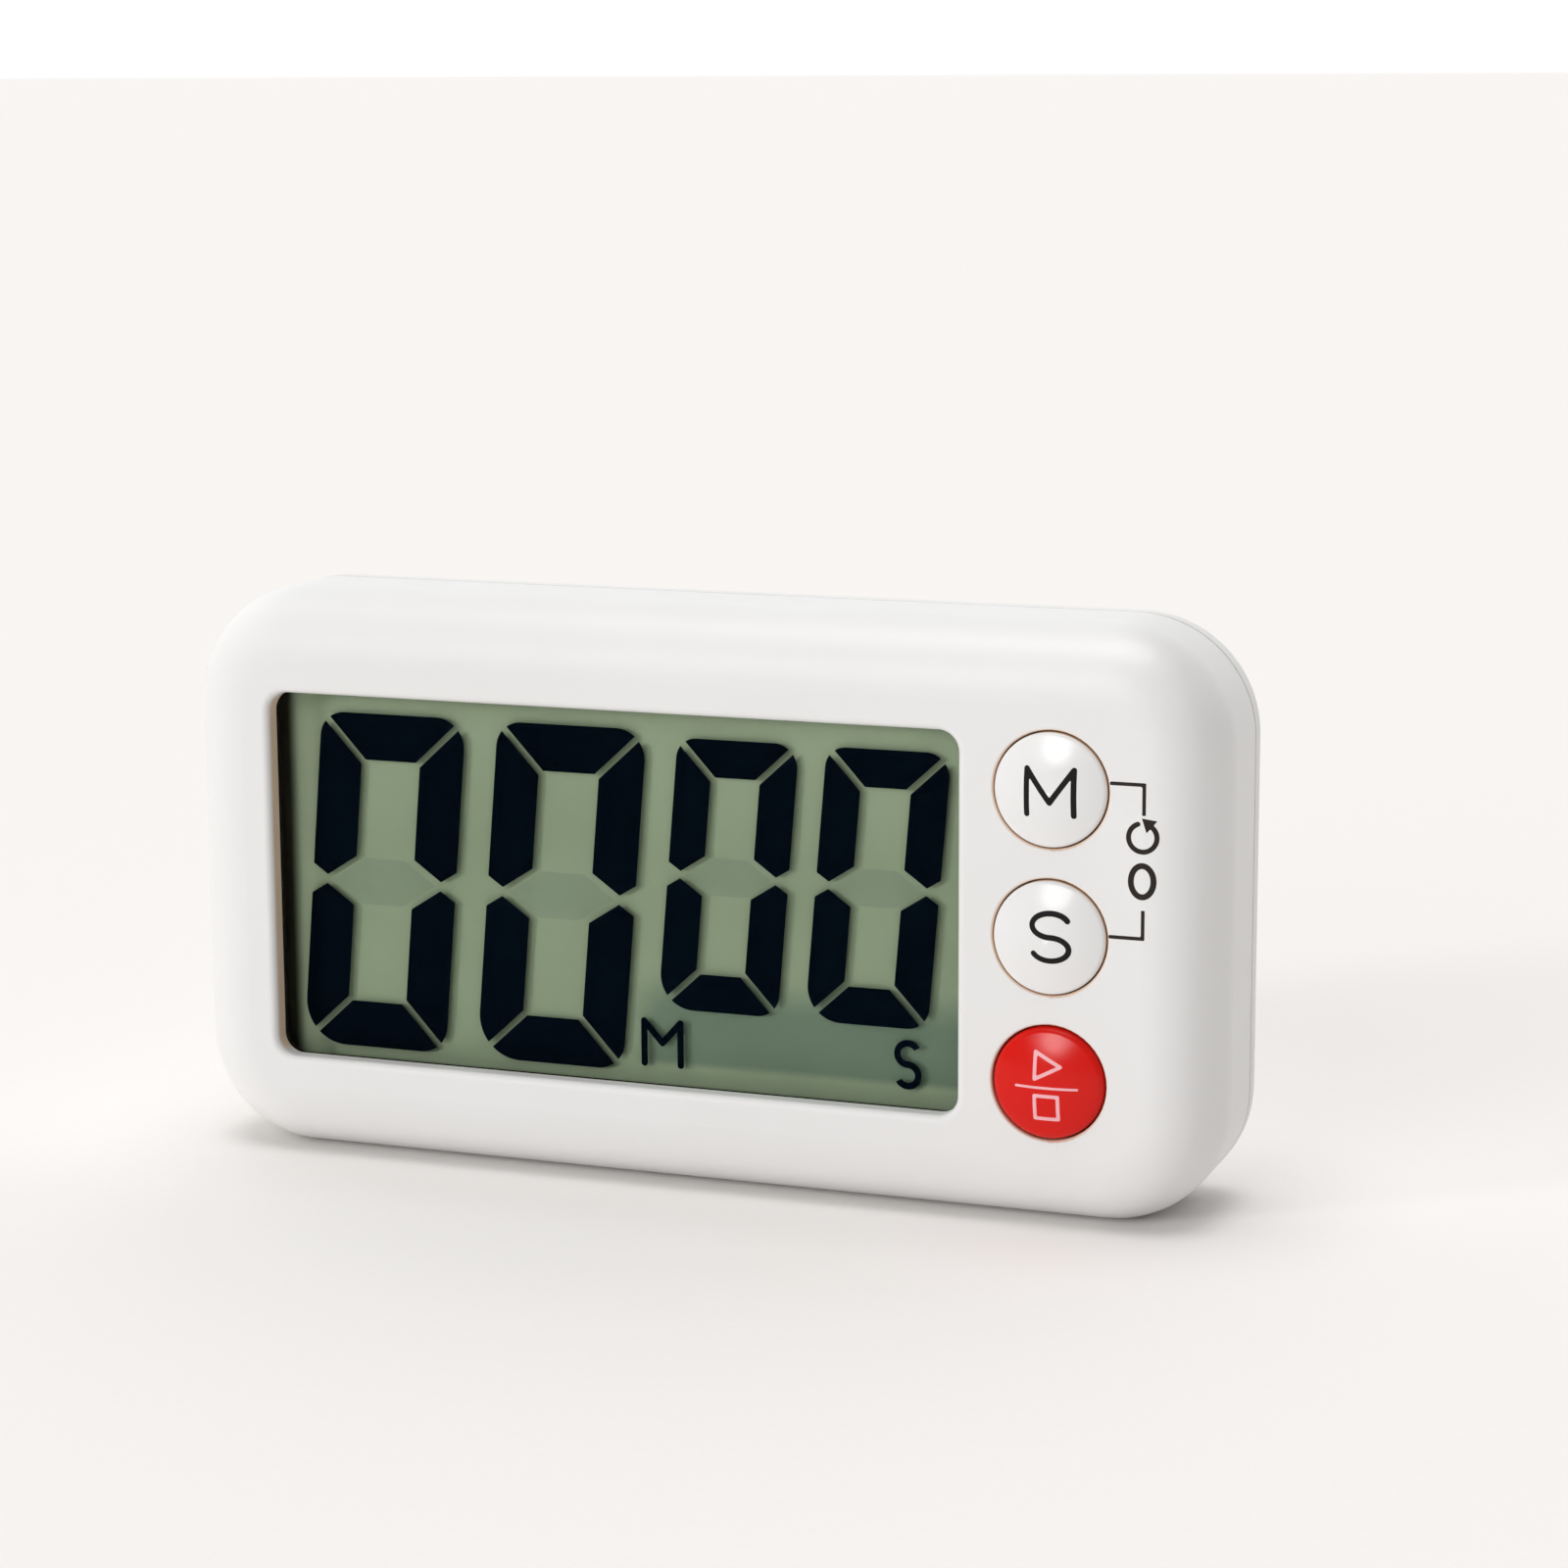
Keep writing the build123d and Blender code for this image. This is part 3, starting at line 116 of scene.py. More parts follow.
class Shader:
    """A material's node tree, with short ways to add nodes and join them."""

    def __init__(self, name):
        self.material = bpy.data.materials.new(name)
        self.material.use_nodes = True
        self.tree = self.material.node_tree
        self.tree.nodes.clear()
        self.output = self.add("ShaderNodeOutputMaterial")
        self.coords = None

    def add(self, kind, values=None, **settings):
        made = self.tree.nodes.new(kind)
        for key, value in settings.items():
            setattr(made, key, value)
        for key, value in (values or {}).items():
            self.put(made.inputs[key], value)
        return made

    def put(self, socket, value):
        if isinstance(value, bpy.types.NodeSocket):
            self.tree.links.new(value, socket)
        else:
            socket.default_value = value

    def place(self):
        """Position in the row frame, in metres."""
        if self.coords is None:
            self.coords = self.add("ShaderNodeTexCoord").outputs["Object"]
        return self.coords

    def noise(self, size_mm, detail=2.0, roughness=0.5, vector=None):
        """Noise whose features are about this many millimetres across."""
        made = self.add(
            "ShaderNodeTexNoise",
            {
                "Vector": vector or self.place(),
                "Scale": 1 / (size_mm * MM),
                "Detail": detail,
                "Roughness": roughness,
            },
        )
        return made.outputs["Fac"]

    def math(self, operation, a, b=0.0, c=0.0):
        made = self.add("ShaderNodeMath", operation=operation)
        for socket, value in zip(made.inputs, (a, b, c)):
            self.put(socket, value)
        return made.outputs[0]

    def spread(self, value, low, high, out_low=0.0, out_high=1.0, smooth=False):
        """Maps the stretch from low to high onto another, and holds it there."""
        made = self.add(
            "ShaderNodeMapRange",
            {
                "Value": value,
                "From Min": low,
                "From Max": high,
                "To Min": out_low,
                "To Max": out_high,
            },
            clamp=True,
            interpolation_type="SMOOTHSTEP" if smooth else "LINEAR",
        )
        return made.outputs["Result"]

    def swing(self, noise, out_low=0.0, out_high=1.0):
        """Maps the usual stretch of a noise texture onto another."""
        return self.spread(noise, NOISE_LOW, NOISE_HIGH, out_low, out_high)

    def fade(self, value, origin, span_mm, out_low=0.0, out_high=1.0):
        """Changes smoothly over a stretch that starts and ends this many millimetres from the origin."""
        low, high = (origin + part * MM for part in span_mm)
        return self.spread(value, low, high, out_low, out_high, smooth=True)

    def blend(self, factor, first, second):
        """A colour between two."""
        made = self.add("ShaderNodeMix", data_type="RGBA")
        self.put(made.inputs["Factor"], factor)
        self.put(made.inputs["A"], with_alpha(first))
        self.put(made.inputs["B"], with_alpha(second))
        return made.outputs["Result"]

    def axes(self):
        made = self.add("ShaderNodeSeparateXYZ", {"Vector": self.place()})
        return made.outputs["X"], made.outputs["Y"], made.outputs["Z"]

    def bump(self, height, depth_mm, strength=1.0, normal=None):
        values = {"Height": height, "Distance": depth_mm * MM, "Strength": strength}
        if normal is not None:
            values["Normal"] = normal
        return self.add("ShaderNodeBump", values).outputs["Normal"]

    def surface(self, colour, roughness, normal=None, metallic=0.0, **fixed):
        """A Principled surface. The fixed values are plain socket values."""
        values = {"Base Color": with_alpha(colour), "Roughness": roughness, "Metallic": metallic}
        if normal is not None:
            values["Normal"] = normal
        for key, value in fixed.items():
            values[key.replace("_", " ")] = value
        made = self.add("ShaderNodeBsdfPrincipled", values)
        self.show(made.outputs["BSDF"])

    def show(self, shading):
        self.put(self.output.inputs["Surface"], shading)


def dress(shader, *names):
    """Gives CAD nodes this material."""
    for name in names:
        data = nodes[name].data
        data.materials.clear()
        data.materials.append(shader.material)


PATCH_MM = 14.0
GLOSS_PATCH_MM = 2.2
GLOSS_SWING = 0.03


def moulded(name, colour, shade, roughness, grain_mm, grain_depth_mm, **fixed):
    """Moulded plastic or rubber: two close colours, a fine grain and patches of other gloss."""
    shader = Shader(name)
    patches = shader.noise(PATCH_MM, detail=3.0)
    tone = shader.blend(shader.swing(patches), colour, shade)
    spots = shader.noise(GLOSS_PATCH_MM, detail=4.0)
    gloss = shader.swing(spots, roughness - GLOSS_SWING, roughness + GLOSS_SWING)
    grain = shader.noise(grain_mm, detail=3.0, roughness=0.6)
    shader.surface(tone, gloss, shader.bump(grain, grain_depth_mm), **fixed)
    return shader


# ---------------------------------------------------------------- white plastic

CASE_WHITE = (0.805, 0.80, 0.795)
CASE_SHADE = (0.79, 0.782, 0.774)
# painted shade: the tan of the narrow gaps and of the window's left wall
GAP_SHADE_TAN = (0.80, 0.61, 0.47)
BUTTON_HOLE_RADIUS = 5.45 * MM
WALL_FADE_MM = (0.5, 1.2)  # from the window's left edge, across its rounded corners
SHADE_FLOOR = 1.9 * MM  # the painted shade ends this deep, in front of the inner faces
CASE_PATCH_MM = 16.0
CASE_GLOSS_MM = 2.4
CASE_GLOSS_SWING = 0.025
CASE_GRAIN_MM = 0.22
CASE_WAVE_MM, CASE_WAVE_DEPTH_MM = 9.0, 0.012


def near_button(shader, x, z, centre):
    """1 inside the hole of the button at this centre, else 0."""
    across = shader.math("SUBTRACT", x, centre.x)
    up = shader.math("SUBTRACT", z, centre.z)
    square = shader.math("ADD", shader.math("MULTIPLY", across, across), shader.math("MULTIPLY", up, up))
    return shader.math("LESS_THAN", square, BUTTON_HOLE_RADIUS**2)


def at_left_wall(shader, x, z):
    """1 on the left wall of the window's opening, fading out round its corners, else 0."""
    beside = shader.fade(x, WINDOW_LEFT, WALL_FADE_MM, 1.0, 0.0)
    beside = shader.math("MULTIPLY", beside, shader.math("GREATER_THAN", x, WINDOW_LEFT))
    up = shader.math("ABSOLUTE", shader.math("SUBTRACT", z, WINDOW.z))
    return shader.math("MULTIPLY", beside, shader.math("LESS_THAN", up, WINDOW_SPAN[1]))


def white_plastic(name, roughness, grain_depth_mm, hole_shade_mm, wall_shade_mm=None, glint=0.5):
    """White ABS, with painted tan shade down in its narrow gaps and on the window's left wall, standing in
    for light that has passed through the plastic.
    """
    shader = Shader(name)
    x, y, z = shader.axes()
    depth = shader.math("SUBTRACT", y, FRONT_Y)
    painted_shade = shader.fade(depth, 0.0, hole_shade_mm)
    if wall_shade_mm:
        hole = near_button(shader, x, z, MINUTE)
        for centre in (SECOND, START):
            hole = shader.math("MAXIMUM", hole, near_button(shader, x, z, centre))
        wall = shader.fade(depth, 0.0, wall_shade_mm)
        wall = shader.math("MULTIPLY", wall, at_left_wall(shader, x, z))
        shallow = shader.math("LESS_THAN", depth, SHADE_FLOOR)
        painted_shade = shader.math("MAXIMUM", shader.math("MULTIPLY", painted_shade, hole), wall)
        painted_shade = shader.math("MULTIPLY", painted_shade, shallow)
    patches = shader.noise(CASE_PATCH_MM, detail=3.0)
    tone = shader.blend(shader.swing(patches), CASE_WHITE, CASE_SHADE)
    # painted tan shade in the button gaps and on the window's left wall
    tone = shader.blend(painted_shade, tone, GAP_SHADE_TAN)
    spots = shader.noise(CASE_GLOSS_MM, detail=4.0)
    gloss = shader.swing(spots, roughness - CASE_GLOSS_SWING, roughness + CASE_GLOSS_SWING)
    grain = shader.noise(CASE_GRAIN_MM, detail=3.0, roughness=0.6)
    waves = shader.noise(CASE_WAVE_MM, detail=1.0)
    normal = shader.bump(grain, grain_depth_mm)
    normal = shader.bump(waves, CASE_WAVE_DEPTH_MM, normal=normal)
    shader.surface(tone, gloss, normal, Specular_IOR_Level=glint)
    return shader


case_white = white_plastic(
    "case_white",
    roughness=0.36,
    grain_depth_mm=0.0035,
    hole_shade_mm=(-0.02, 0.12),
    wall_shade_mm=(0.3, 0.75),
)
dress(case_white, "front_case")
button_white = white_plastic(
    "button_white", roughness=0.16, grain_depth_mm=0.0006, hole_shade_mm=(-0.12, 0.2), glint=0.2
)
dress(button_white, "minute_button", "second_button")
button_red = moulded(
    "button_red",
    colour=(0.68, 0.009, 0.005),
    shade=(0.64, 0.008, 0.004),
    roughness=0.24,
    grain_mm=0.25,
    grain_depth_mm=0.0006,
    Specular_IOR_Level=0.2,
)
dress(button_red, "start_button")

# ---------------------------------------------------------------- display

FILM_CLOUD_MM = 12.0
FILM_SHADE = 0.992
HAZE_MM = 3.0
HAZE_ROUGHNESS = (0.03, 0.07)
GLANCE_POWER = 5.0


def clear(name, tint, grazing=0.0):
    """A clear sheet: light goes straight through, tinted, and glances off it only at a low angle."""
    shader = Shader(name)
    film = shader.swing(shader.noise(FILM_CLOUD_MM, detail=3.0))
    shade = tuple(channel * FILM_SHADE for channel in tint)
    through = shader.add("ShaderNodeBsdfTransparent", {"Color": shader.blend(film, tint, shade)})
    if not grazing:
        shader.show(through.outputs[0])
        return shader
    haze = shader.swing(shader.noise(HAZE_MM, detail=4.0), *HAZE_ROUGHNESS)
    mirror = shader.add("ShaderNodeBsdfGlossy", {"Roughness": haze})
    facing = shader.add("ShaderNodeLayerWeight", {"Blend": 0.5}).outputs["Facing"]
    glance = shader.math("MULTIPLY", shader.math("POWER", facing, GLANCE_POWER), grazing)
    both = shader.add("ShaderNodeMixShader", {0: glance, 1: through.outputs[0], 2: mirror.outputs[0]})
    shader.show(both.outputs[0])
    return shader


dress(clear("clear_sheet", (0.995, 0.995, 0.99), grazing=0.4), "display_window")
dress(clear("polariser_film", (0.985, 0.99, 0.98)), "lcd_front_polariser")
dress(clear("display_glass", (0.99, 0.995, 0.99)), "lcd_front_glass", "lcd_rear_glass")

REFLECTOR_TONE = (0.300, 0.362, 0.258)
REFLECTOR_BROAD = tuple(channel * 0.94 for channel in REFLECTOR_TONE)
REFLECTOR_PEARL = (0.345, 0.41, 0.295)
# painted shadow cast by the window's left wall
REFLECTOR_WALL_SHADOW = (0.020, 0.015, 0.011)
# painted light near the left wall and on the upper part, where shadow falls
REFLECTOR_PAINTED_LIGHT = (0.46, 0.55, 0.395)
# painted shade low on the display
REFLECTOR_LOW_SHADE = (0.165, 0.225, 0.17)
BROAD_MM, BROAD_SHARE = 30.0, 0.5
PEARL_MM, PEARL_SHARE = 0.12, 0.3
WALL_SHADOW_FADE_MM, WALL_SHADOW_SHARE = (0.05, 1.4), 0.98  # painted shadow of the window's left wall, from the window's left edge
PAINTED_LIGHT_FADE_MM = (1.4, 4.6)
UPPER_LIGHT_FADE_MM, UPPER_LIGHT_SHARE = (4, 16), 0.3  # painted light on the upper part, from the window's middle, upward
LOW_FADE_MM, LOW_START_MM = (-11, -6.5), (0, 4)  # the painted darker shade low on the display: its top, and where it starts in x
LOW_END_MM = (-16.4, -15.4)

reflector = Shader("reflector")
x, _, z = reflector.axes()
pearl = reflector.noise(PEARL_MM, detail=3.0, roughness=0.7)
broad = reflector.noise(BROAD_MM, detail=1.0)
tone = reflector.blend(reflector.swing(broad, 0.0, BROAD_SHARE), REFLECTOR_TONE, REFLECTOR_BROAD)
tone = reflector.blend(reflector.swing(pearl, 0.0, PEARL_SHARE), tone, REFLECTOR_PEARL)
# painted light beside the left wall and on the upper part of the display
light_beside_wall = reflector.fade(x, WINDOW_LEFT, PAINTED_LIGHT_FADE_MM, 1.0, 0.0)
upper_low, upper_high = (WINDOW.z + height * MM for height in UPPER_LIGHT_FADE_MM)
upper_light = reflector.spread(z, upper_low, upper_high, 0.0, UPPER_LIGHT_SHARE)
tone = reflector.blend(reflector.math("MAXIMUM", light_beside_wall, upper_light), tone, REFLECTOR_PAINTED_LIGHT)
# painted shade: darker low on the display, from the middle towards the right
low_shade = reflector.fade(z, WINDOW.z, LOW_FADE_MM, 1.0, 0.0)
low_shade = reflector.math("MULTIPLY", low_shade, reflector.fade(x, WINDOW.x, LOW_START_MM))
low_shade = reflector.math("MULTIPLY", low_shade, reflector.fade(z, WINDOW.z, LOW_END_MM))
tone = reflector.blend(low_shade, tone, REFLECTOR_LOW_SHADE)
# painted shadow of the window's left wall, nearly black at the edge
tone = reflector.blend(reflector.fade(x, WINDOW_LEFT, WALL_SHADOW_FADE_MM, WALL_SHADOW_SHARE, 0.0), tone, REFLECTOR_WALL_SHADOW)
reflector.surface(tone, 0.75, reflector.bump(pearl, 0.002), Specular_IOR_Level=0.1)
dress(reflector, "lcd_reflector")

dark = Shader("lcd_dark")
speckle = dark.noise(0.4, detail=3.0)
tone = dark.blend(dark.swing(speckle), (0.0012, 0.0036, 0.0078), (0.0018, 0.0046, 0.0092))
dark.surface(tone, 0.9, dark.bump(speckle, 0.0005), Specular_IOR_Level=0.0)
dress(dark, "lcd_segments")

FOAM_PORE = 0.18 * MM
foam = Shader("foam_black")
pore_cells = foam.add("ShaderNodeTexVoronoi", {"Vector": foam.place(), "Scale": 1 / FOAM_PORE})
pores = foam.spread(pore_cells.outputs["Distance"], 0.1, 0.6)
tone = foam.blend(pores, (0.010, 0.008, 0.006), (0.026, 0.020, 0.015))
foam.surface(tone, 0.85, foam.bump(pores, 0.02), Specular_IOR_Level=0.1)
dress(foam, "display_gasket")

# ---------------------------------------------------------------- rear and inside

STRIPE_RAGGED = 0.12  # shares of the stripes' pitch
STRIPE_SOFT = 0.04
STRIPE_STEP_MM = 0.006
SCRATCH_STRETCH = (1.0, 1.0, 14.0)
SCRATCH_DEPTH_MM = 0.0015
TARNISH_MM = 3.5


def banded(name, pitch_mm, axis, first, second, roughness, width=0.5):
    """Even stripes across one axis, with slightly ragged edges. The width is the first one's share."""
    shader = Shader(name)
    along = dict(zip("XYZ", shader.axes()))[axis]
    ragged = shader.math("MULTIPLY", shader.noise(0.4, detail=2.0), STRIPE_RAGGED)
    phase = shader.math("ADD", shader.math("MULTIPLY", along, 1 / (pitch_mm * MM)), ragged)
    saw = shader.math("FRACT", phase)
    stripe = shader.spread(saw, width - STRIPE_SOFT, width + STRIPE_SOFT, smooth=True)
    tone = shader.blend(stripe, first, second)
    grain = shader.noise(0.1, detail=3.0)
    normal = shader.bump(grain, 0.003)
    normal = shader.bump(stripe, STRIPE_STEP_MM, normal=normal)
    shader.surface(tone, shader.swing(grain, roughness - 0.04, roughness + 0.04), normal)
    return shader


def plated(name, colour, tarnish, roughness, scratch_mm):
    """Bare metal with fine rolled scratches and patches of tarnish."""
    shader = Shader(name)
    stretch = shader.add("ShaderNodeMapping", {"Vector": shader.place(), "Scale": SCRATCH_STRETCH})
    lines = shader.noise(scratch_mm, detail=4.0, roughness=0.7, vector=stretch.outputs["Vector"])
    patches = shader.spread(shader.noise(TARNISH_MM, detail=4.0), 0.45, 0.75)
    tone = shader.blend(patches, colour, tarnish)
    gloss = shader.spread(lines, 0.25, 0.75, roughness - 0.08, roughness + 0.1)
    shader.surface(tone, gloss, shader.bump(lines, SCRATCH_DEPTH_MM), metallic=1.0)
    return shader


# name, colour, shade, roughness, grain's size and depth in millimetres, CAD nodes
MOULDED = (
    ("rear_white", CASE_WHITE, CASE_SHADE, 0.42, 0.30, 0.008, ("rear_cover", "stand", "battery_door")),
    ("black_abs", (0.02, 0.02, 0.02), (0.03, 0.03, 0.03), 0.45, 0.2, 0.004, ("lcd_holder",)),
    ("carbon_rubber", (0.018, 0.018, 0.018), (0.035, 0.035, 0.035), 0.7, 0.08, 0.004,
     ("minute_contact", "second_contact", "start_contact")),
    ("epoxy_black", (0.008, 0.008, 0.008), (0.014, 0.013, 0.012), 0.18, 1.4, 0.02, ("controller_blob",)),
    ("chip_body", (0.30, 0.20, 0.11), (0.20, 0.13, 0.07), 0.5, 0.2, 0.01, ("chip_components",)),
    ("coil_sleeve", (0.02, 0.02, 0.024), (0.035, 0.035, 0.04), 0.3, 0.5, 0.01, ("buzzer_coil",)),
    ("piezo_silver", (0.62, 0.60, 0.56), (0.50, 0.48, 0.44), 0.45, 0.15, 0.006, ("buzzer_ceramic",)),
    ("cell_paste", (0.06, 0.06, 0.06), (0.09, 0.085, 0.08), 0.8, 0.2, 0.02, ("battery_core",)),
    ("wire_red", (0.50, 0.015, 0.012), (0.42, 0.012, 0.01), 0.4, 0.4, 0.006, ("red_wire",)),
    ("wire_black", (0.015, 0.015, 0.015), (0.025, 0.025, 0.025), 0.4, 0.4, 0.006, ("black_wire",)),
)
for *finish, names in MOULDED:
    dress(moulded(*finish), *names)

# name, colour, tarnish, roughness, scratch's size in millimetres, CAD nodes
PLATED = (
    ("nickel", (0.66, 0.64, 0.60), (0.50, 0.48, 0.44), 0.26, 0.5,
     ("battery", "positive_contact", "negative_contact", "negative_spring", "clock_crystal")),
    ("zinc", (0.56, 0.56, 0.58), (0.36, 0.36, 0.38), 0.34, 0.3, ("case_screws", "pcb_screws")),
    ("brass", (0.75, 0.55, 0.22), (0.50, 0.34, 0.13), 0.28, 0.5, ("buzzer_plate",)),
    ("magnet_nickel", (0.68, 0.665, 0.64), (0.645, 0.63, 0.605), 0.24, 0.8,
     ("left_magnet", "right_magnet")),
)
for *finish, names in PLATED:
    dress(plated(*finish), *names)

zebra_rubber = banded(
    "zebra_rubber",
    pitch_mm=0.18,
    axis="X",
    first=(0.60, 0.25, 0.27),
    second=(0.03, 0.03, 0.03),
    roughness=0.6,
)
dress(zebra_rubber, "zebra_connector")
pad_carbon = banded(
    "pad_carbon",
    pitch_mm=0.7,
    axis="Z",
    first=(0.025, 0.025, 0.027),
    second=(0.30, 0.22, 0.10),
    roughness=0.5,
    width=0.75,
)
dress(pad_carbon, "button_pads")

TRACK_SCALE, TRACK_BEND = 340.0, 5.0
board = Shader("pcb_laminate")
swirl = board.add(
    "ShaderNodeTexWave", {"Vector": board.place(), "Scale": TRACK_SCALE, "Distortion": TRACK_BEND}
)
track = board.spread(swirl.outputs["Fac"], 0.62, 0.68, smooth=True)
mask_tone = board.blend(track, (0.012, 0.085, 0.030), (0.035, 0.17, 0.055))
outward = board.add("ShaderNodeNewGeometry").outputs["Normal"]
facing_y = board.math("ABSOLUTE", board.add("ShaderNodeSeparateXYZ", {"Vector": outward}).outputs["Y"])
weave = board.noise(0.15, detail=3.0)
core = board.blend(board.swing(weave), (0.42, 0.36, 0.19), (0.33, 0.28, 0.14))
tone = board.blend(board.math("GREATER_THAN", facing_y, 0.5), core, mask_tone)
board.surface(tone, board.swing(weave, 0.26, 0.34), board.bump(track, 0.02))
dress(board, "main_pcb")

CROWN_START = 0.72  # shares of the label's length
STRIPE_AT, STRIPE_HALF = 0.69, 0.012
label = Shader("cell_label")
x, _, _ = label.axes()
low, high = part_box("battery_label")
along = label.spread(x, low.x, high.x)
crown = label.math("GREATER_THAN", along, CROWN_START)
from_stripe = label.math("ABSOLUTE", label.math("SUBTRACT", along, STRIPE_AT))
stripe = label.math("LESS_THAN", from_stripe, STRIPE_HALF)
foil = label.noise(0.6, detail=4.0)
dark_band = label.blend(label.swing(foil), (0.010, 0.018, 0.040), (0.016, 0.028, 0.060))
warm_band = label.blend(label.swing(foil), (0.60, 0.30, 0.10), (0.52, 0.25, 0.08))
tone = label.blend(stripe, label.blend(crown, dark_band, warm_band), (0.75, 0.74, 0.70))
label.surface(tone, label.swing(foil, 0.2, 0.3), label.bump(foil, 0.004), Coat_Weight=0.4)
dress(label, "battery_label")

# ---------------------------------------------------------------- rubber keys

WELD = 1e-7
SHEET_LOW, SHEET_HIGH = (corner.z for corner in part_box("keypad"))
UPPER_CUT = (MINUTE.z + SECOND.z) / 2
LOWER_CUT = (SECOND.z + START.z) / 2

silicone = moulded(
    "silicone",
    colour=(0.66, 0.66, 0.64),
    shade=(0.60, 0.60, 0.585),
    roughness=0.5,
    grain_mm=0.25,
    grain_depth_mm=0.004,
    Sheen_Weight=0.15,
)
dress(silicone, "keypad")


def add_piece(name, build, shader, body):
    """Makes a piece of this bmesh, with its faces turned outward, and rides it on the body."""
    bmesh.ops.recalc_face_normals(build, faces=build.faces)
    data = bpy.data.meshes.new(name)
    build.to_mesh(data)
    build.free()
    data.materials.append(shader.material)
    piece = bpy.data.objects.new(name, data)
    bpy.context.scene.collection.objects.link(piece)
    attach(piece, body)
    return piece


def rubber_key(name, low_z, high_z):
    """The rubber sheet between two heights, with the dome that gives way under its cap."""
    build = bmesh.new()
    build.from_mesh(nodes["keypad"].data)
    bmesh.ops.remove_doubles(build, verts=build.verts, dist=WELD)
    for height, outward in ((low_z, -1), (high_z, 1)):
        everything = build.verts[:] + build.edges[:] + build.faces[:]
        cut = bmesh.ops.bisect_plane(
            build, geom=everything, plane_co=(0, 0, height), plane_no=(0, 0, outward), clear_outer=True
        )
        rim = [part for part in cut["geom_cut"] if isinstance(part, bmesh.types.BMEdge)]
        bmesh.ops.holes_fill(build, edges=rim)
    piece = add_piece(name, build, silicone, "case")
    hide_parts("keypad")
    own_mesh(piece)


rubber_key("minute_key", UPPER_CUT, SHEET_HIGH + MM)
rubber_key("second_key", LOWER_CUT, UPPER_CUT)
rubber_key("start_key", SHEET_LOW - MM, LOWER_CUT)

# ---------------------------------------------------------------- printed marks

# places and sizes in this section are millimetres, in x and z
CELL = 0.1
CUT_LEAST, CUT_MOST = 0.02, 0.98  # how near to a cell's corner a cut edge may come
INK_PROUD = 0.012
INK_SUNK = 0.008
RAY_START = 5 * MM  # in front of the case
MOTTLE_MM = 0.5
INK_GRAIN_MM, INK_GRAIN_DEPTH_MM = 0.12, 0.0008


def stroke(points, half_width):
    """Distance outside a line of this half width with round ends and corners."""
    runs = [(Vector(a), Vector(b)) for a, b in zip(points, points[1:])]

    def distance(p):
        nearest = math.inf
        for a, b in runs:
            run = b - a
            share = max(0.0, min(1.0, (p - a).dot(run) / run.length_squared))
            nearest = min(nearest, (p - a - run * share).length)
        return nearest - half_width

    return distance


def patch(corners):
    """Distance outside a convex shape, its corners given counter-clockwise."""
    sides = []
    for a, b in zip(corners, corners[1:] + corners[:1]):
        run = Vector(b) - Vector(a)
        sides.append((Vector(a), Vector((run.y, -run.x)).normalized()))

    def distance(p):
        return max((p - start).dot(out) for start, out in sides)

    return distance


def bar(x0, z0, x1, z1):
    return patch([(x0, z0), (x1, z0), (x1, z1), (x0, z1)])


def arc(centre, radii, start, end, steps=28):
    """Points along an arc, its angles in degrees counter-clockwise from the right."""
    turns = [math.radians(start + (end - start) * i / steps) for i in range(steps + 1)]
    return [(centre[0] + radii[0] * math.cos(t), centre[1] + radii[1] * math.sin(t)) for t in turns]


def outline_cells(shapes, low, high):
    """Fills the union of the shapes with small cells, cut along their edges."""
    columns = math.ceil((high[0] - low[0]) / CELL)
    rows = math.ceil((high[1] - low[1]) / CELL)
    value = {}
    for i in range(columns + 1):
        for j in range(rows + 1):
            p = Vector((low[0] + i * CELL, low[1] + j * CELL))
            value[i, j] = min(shape(p) for shape in shapes)
    points, index, cells = [], {}, []

    def vertex(a, b=None):
        key = (a, b)
        if key not in index:
            share, end = 0.0, a
            if b is not None:
                share, end = min(CUT_MOST, max(CUT_LEAST, value[a] / (value[a] - value[b]))), b
            index[key] = len(points)
            points.append([low[k] + (a[k] + (end[k] - a[k]) * share) * CELL for k in (0, 1)])
        return index[key]

    for i in range(columns):
        for j in range(rows):
            corners = [(i, j), (i + 1, j), (i + 1, j + 1), (i, j + 1)]
            cell = []
            for a, b in zip(corners, corners[1:] + corners[:1]):
                if value[a] < 0:
                    cell.append(vertex(a))
                if (value[a] < 0) != (value[b] < 0):
                    cell.append(vertex(*sorted((a, b))))
            if len(cell) > 2:
                cells.append(cell)
    return points, cells


def tree_of(node):
    data = nodes[node].data
    return BVHTree.FromPolygons([v.co for v in data.vertices], [p.vertices for p in data.polygons])


def printed(name, body, slot, shader, node, shapes, low, high):
    """A thin printed film that follows the node's surface."""
    points, cells = outline_cells(shapes, low, high)
    surface = tree_of(node)
    top, bottom = [], []
    for spot in points:
        start = Vector((spot[0] * MM, FRONT_Y - RAY_START, spot[1] * MM))
        hit, normal = surface.ray_cast(start, Vector((0, 1, 0)))[:2]
        top.append(hit + normal * INK_PROUD * MM)
        bottom.append(hit - normal * INK_SUNK * MM)
    solid_film(name, body, shader, top, bottom, cells)


def solid_film(name, body, shader, top, bottom, cells):
    """Closes two matching layers of points with side walls, and rides the piece on its body."""
    count = len(top)
    faces = [tuple(cell) for cell in cells] + [tuple(count + v for v in reversed(cell)) for cell in cells]
    edges = {}
    for cell in cells:
        for a, b in zip(cell, cell[1:] + cell[:1]):
            if (b, a) in edges:
                del edges[b, a]
            else:
                edges[a, b] = True
    walls = [(b, a, a + count, b + count) for a, b in edges]
    build = bmesh.new()
    corners = [build.verts.new(spot) for spot in top + bottom]
    for face in faces + walls:
        build.faces.new([corners[v] for v in face])
    add_piece(name, build, shader, body)


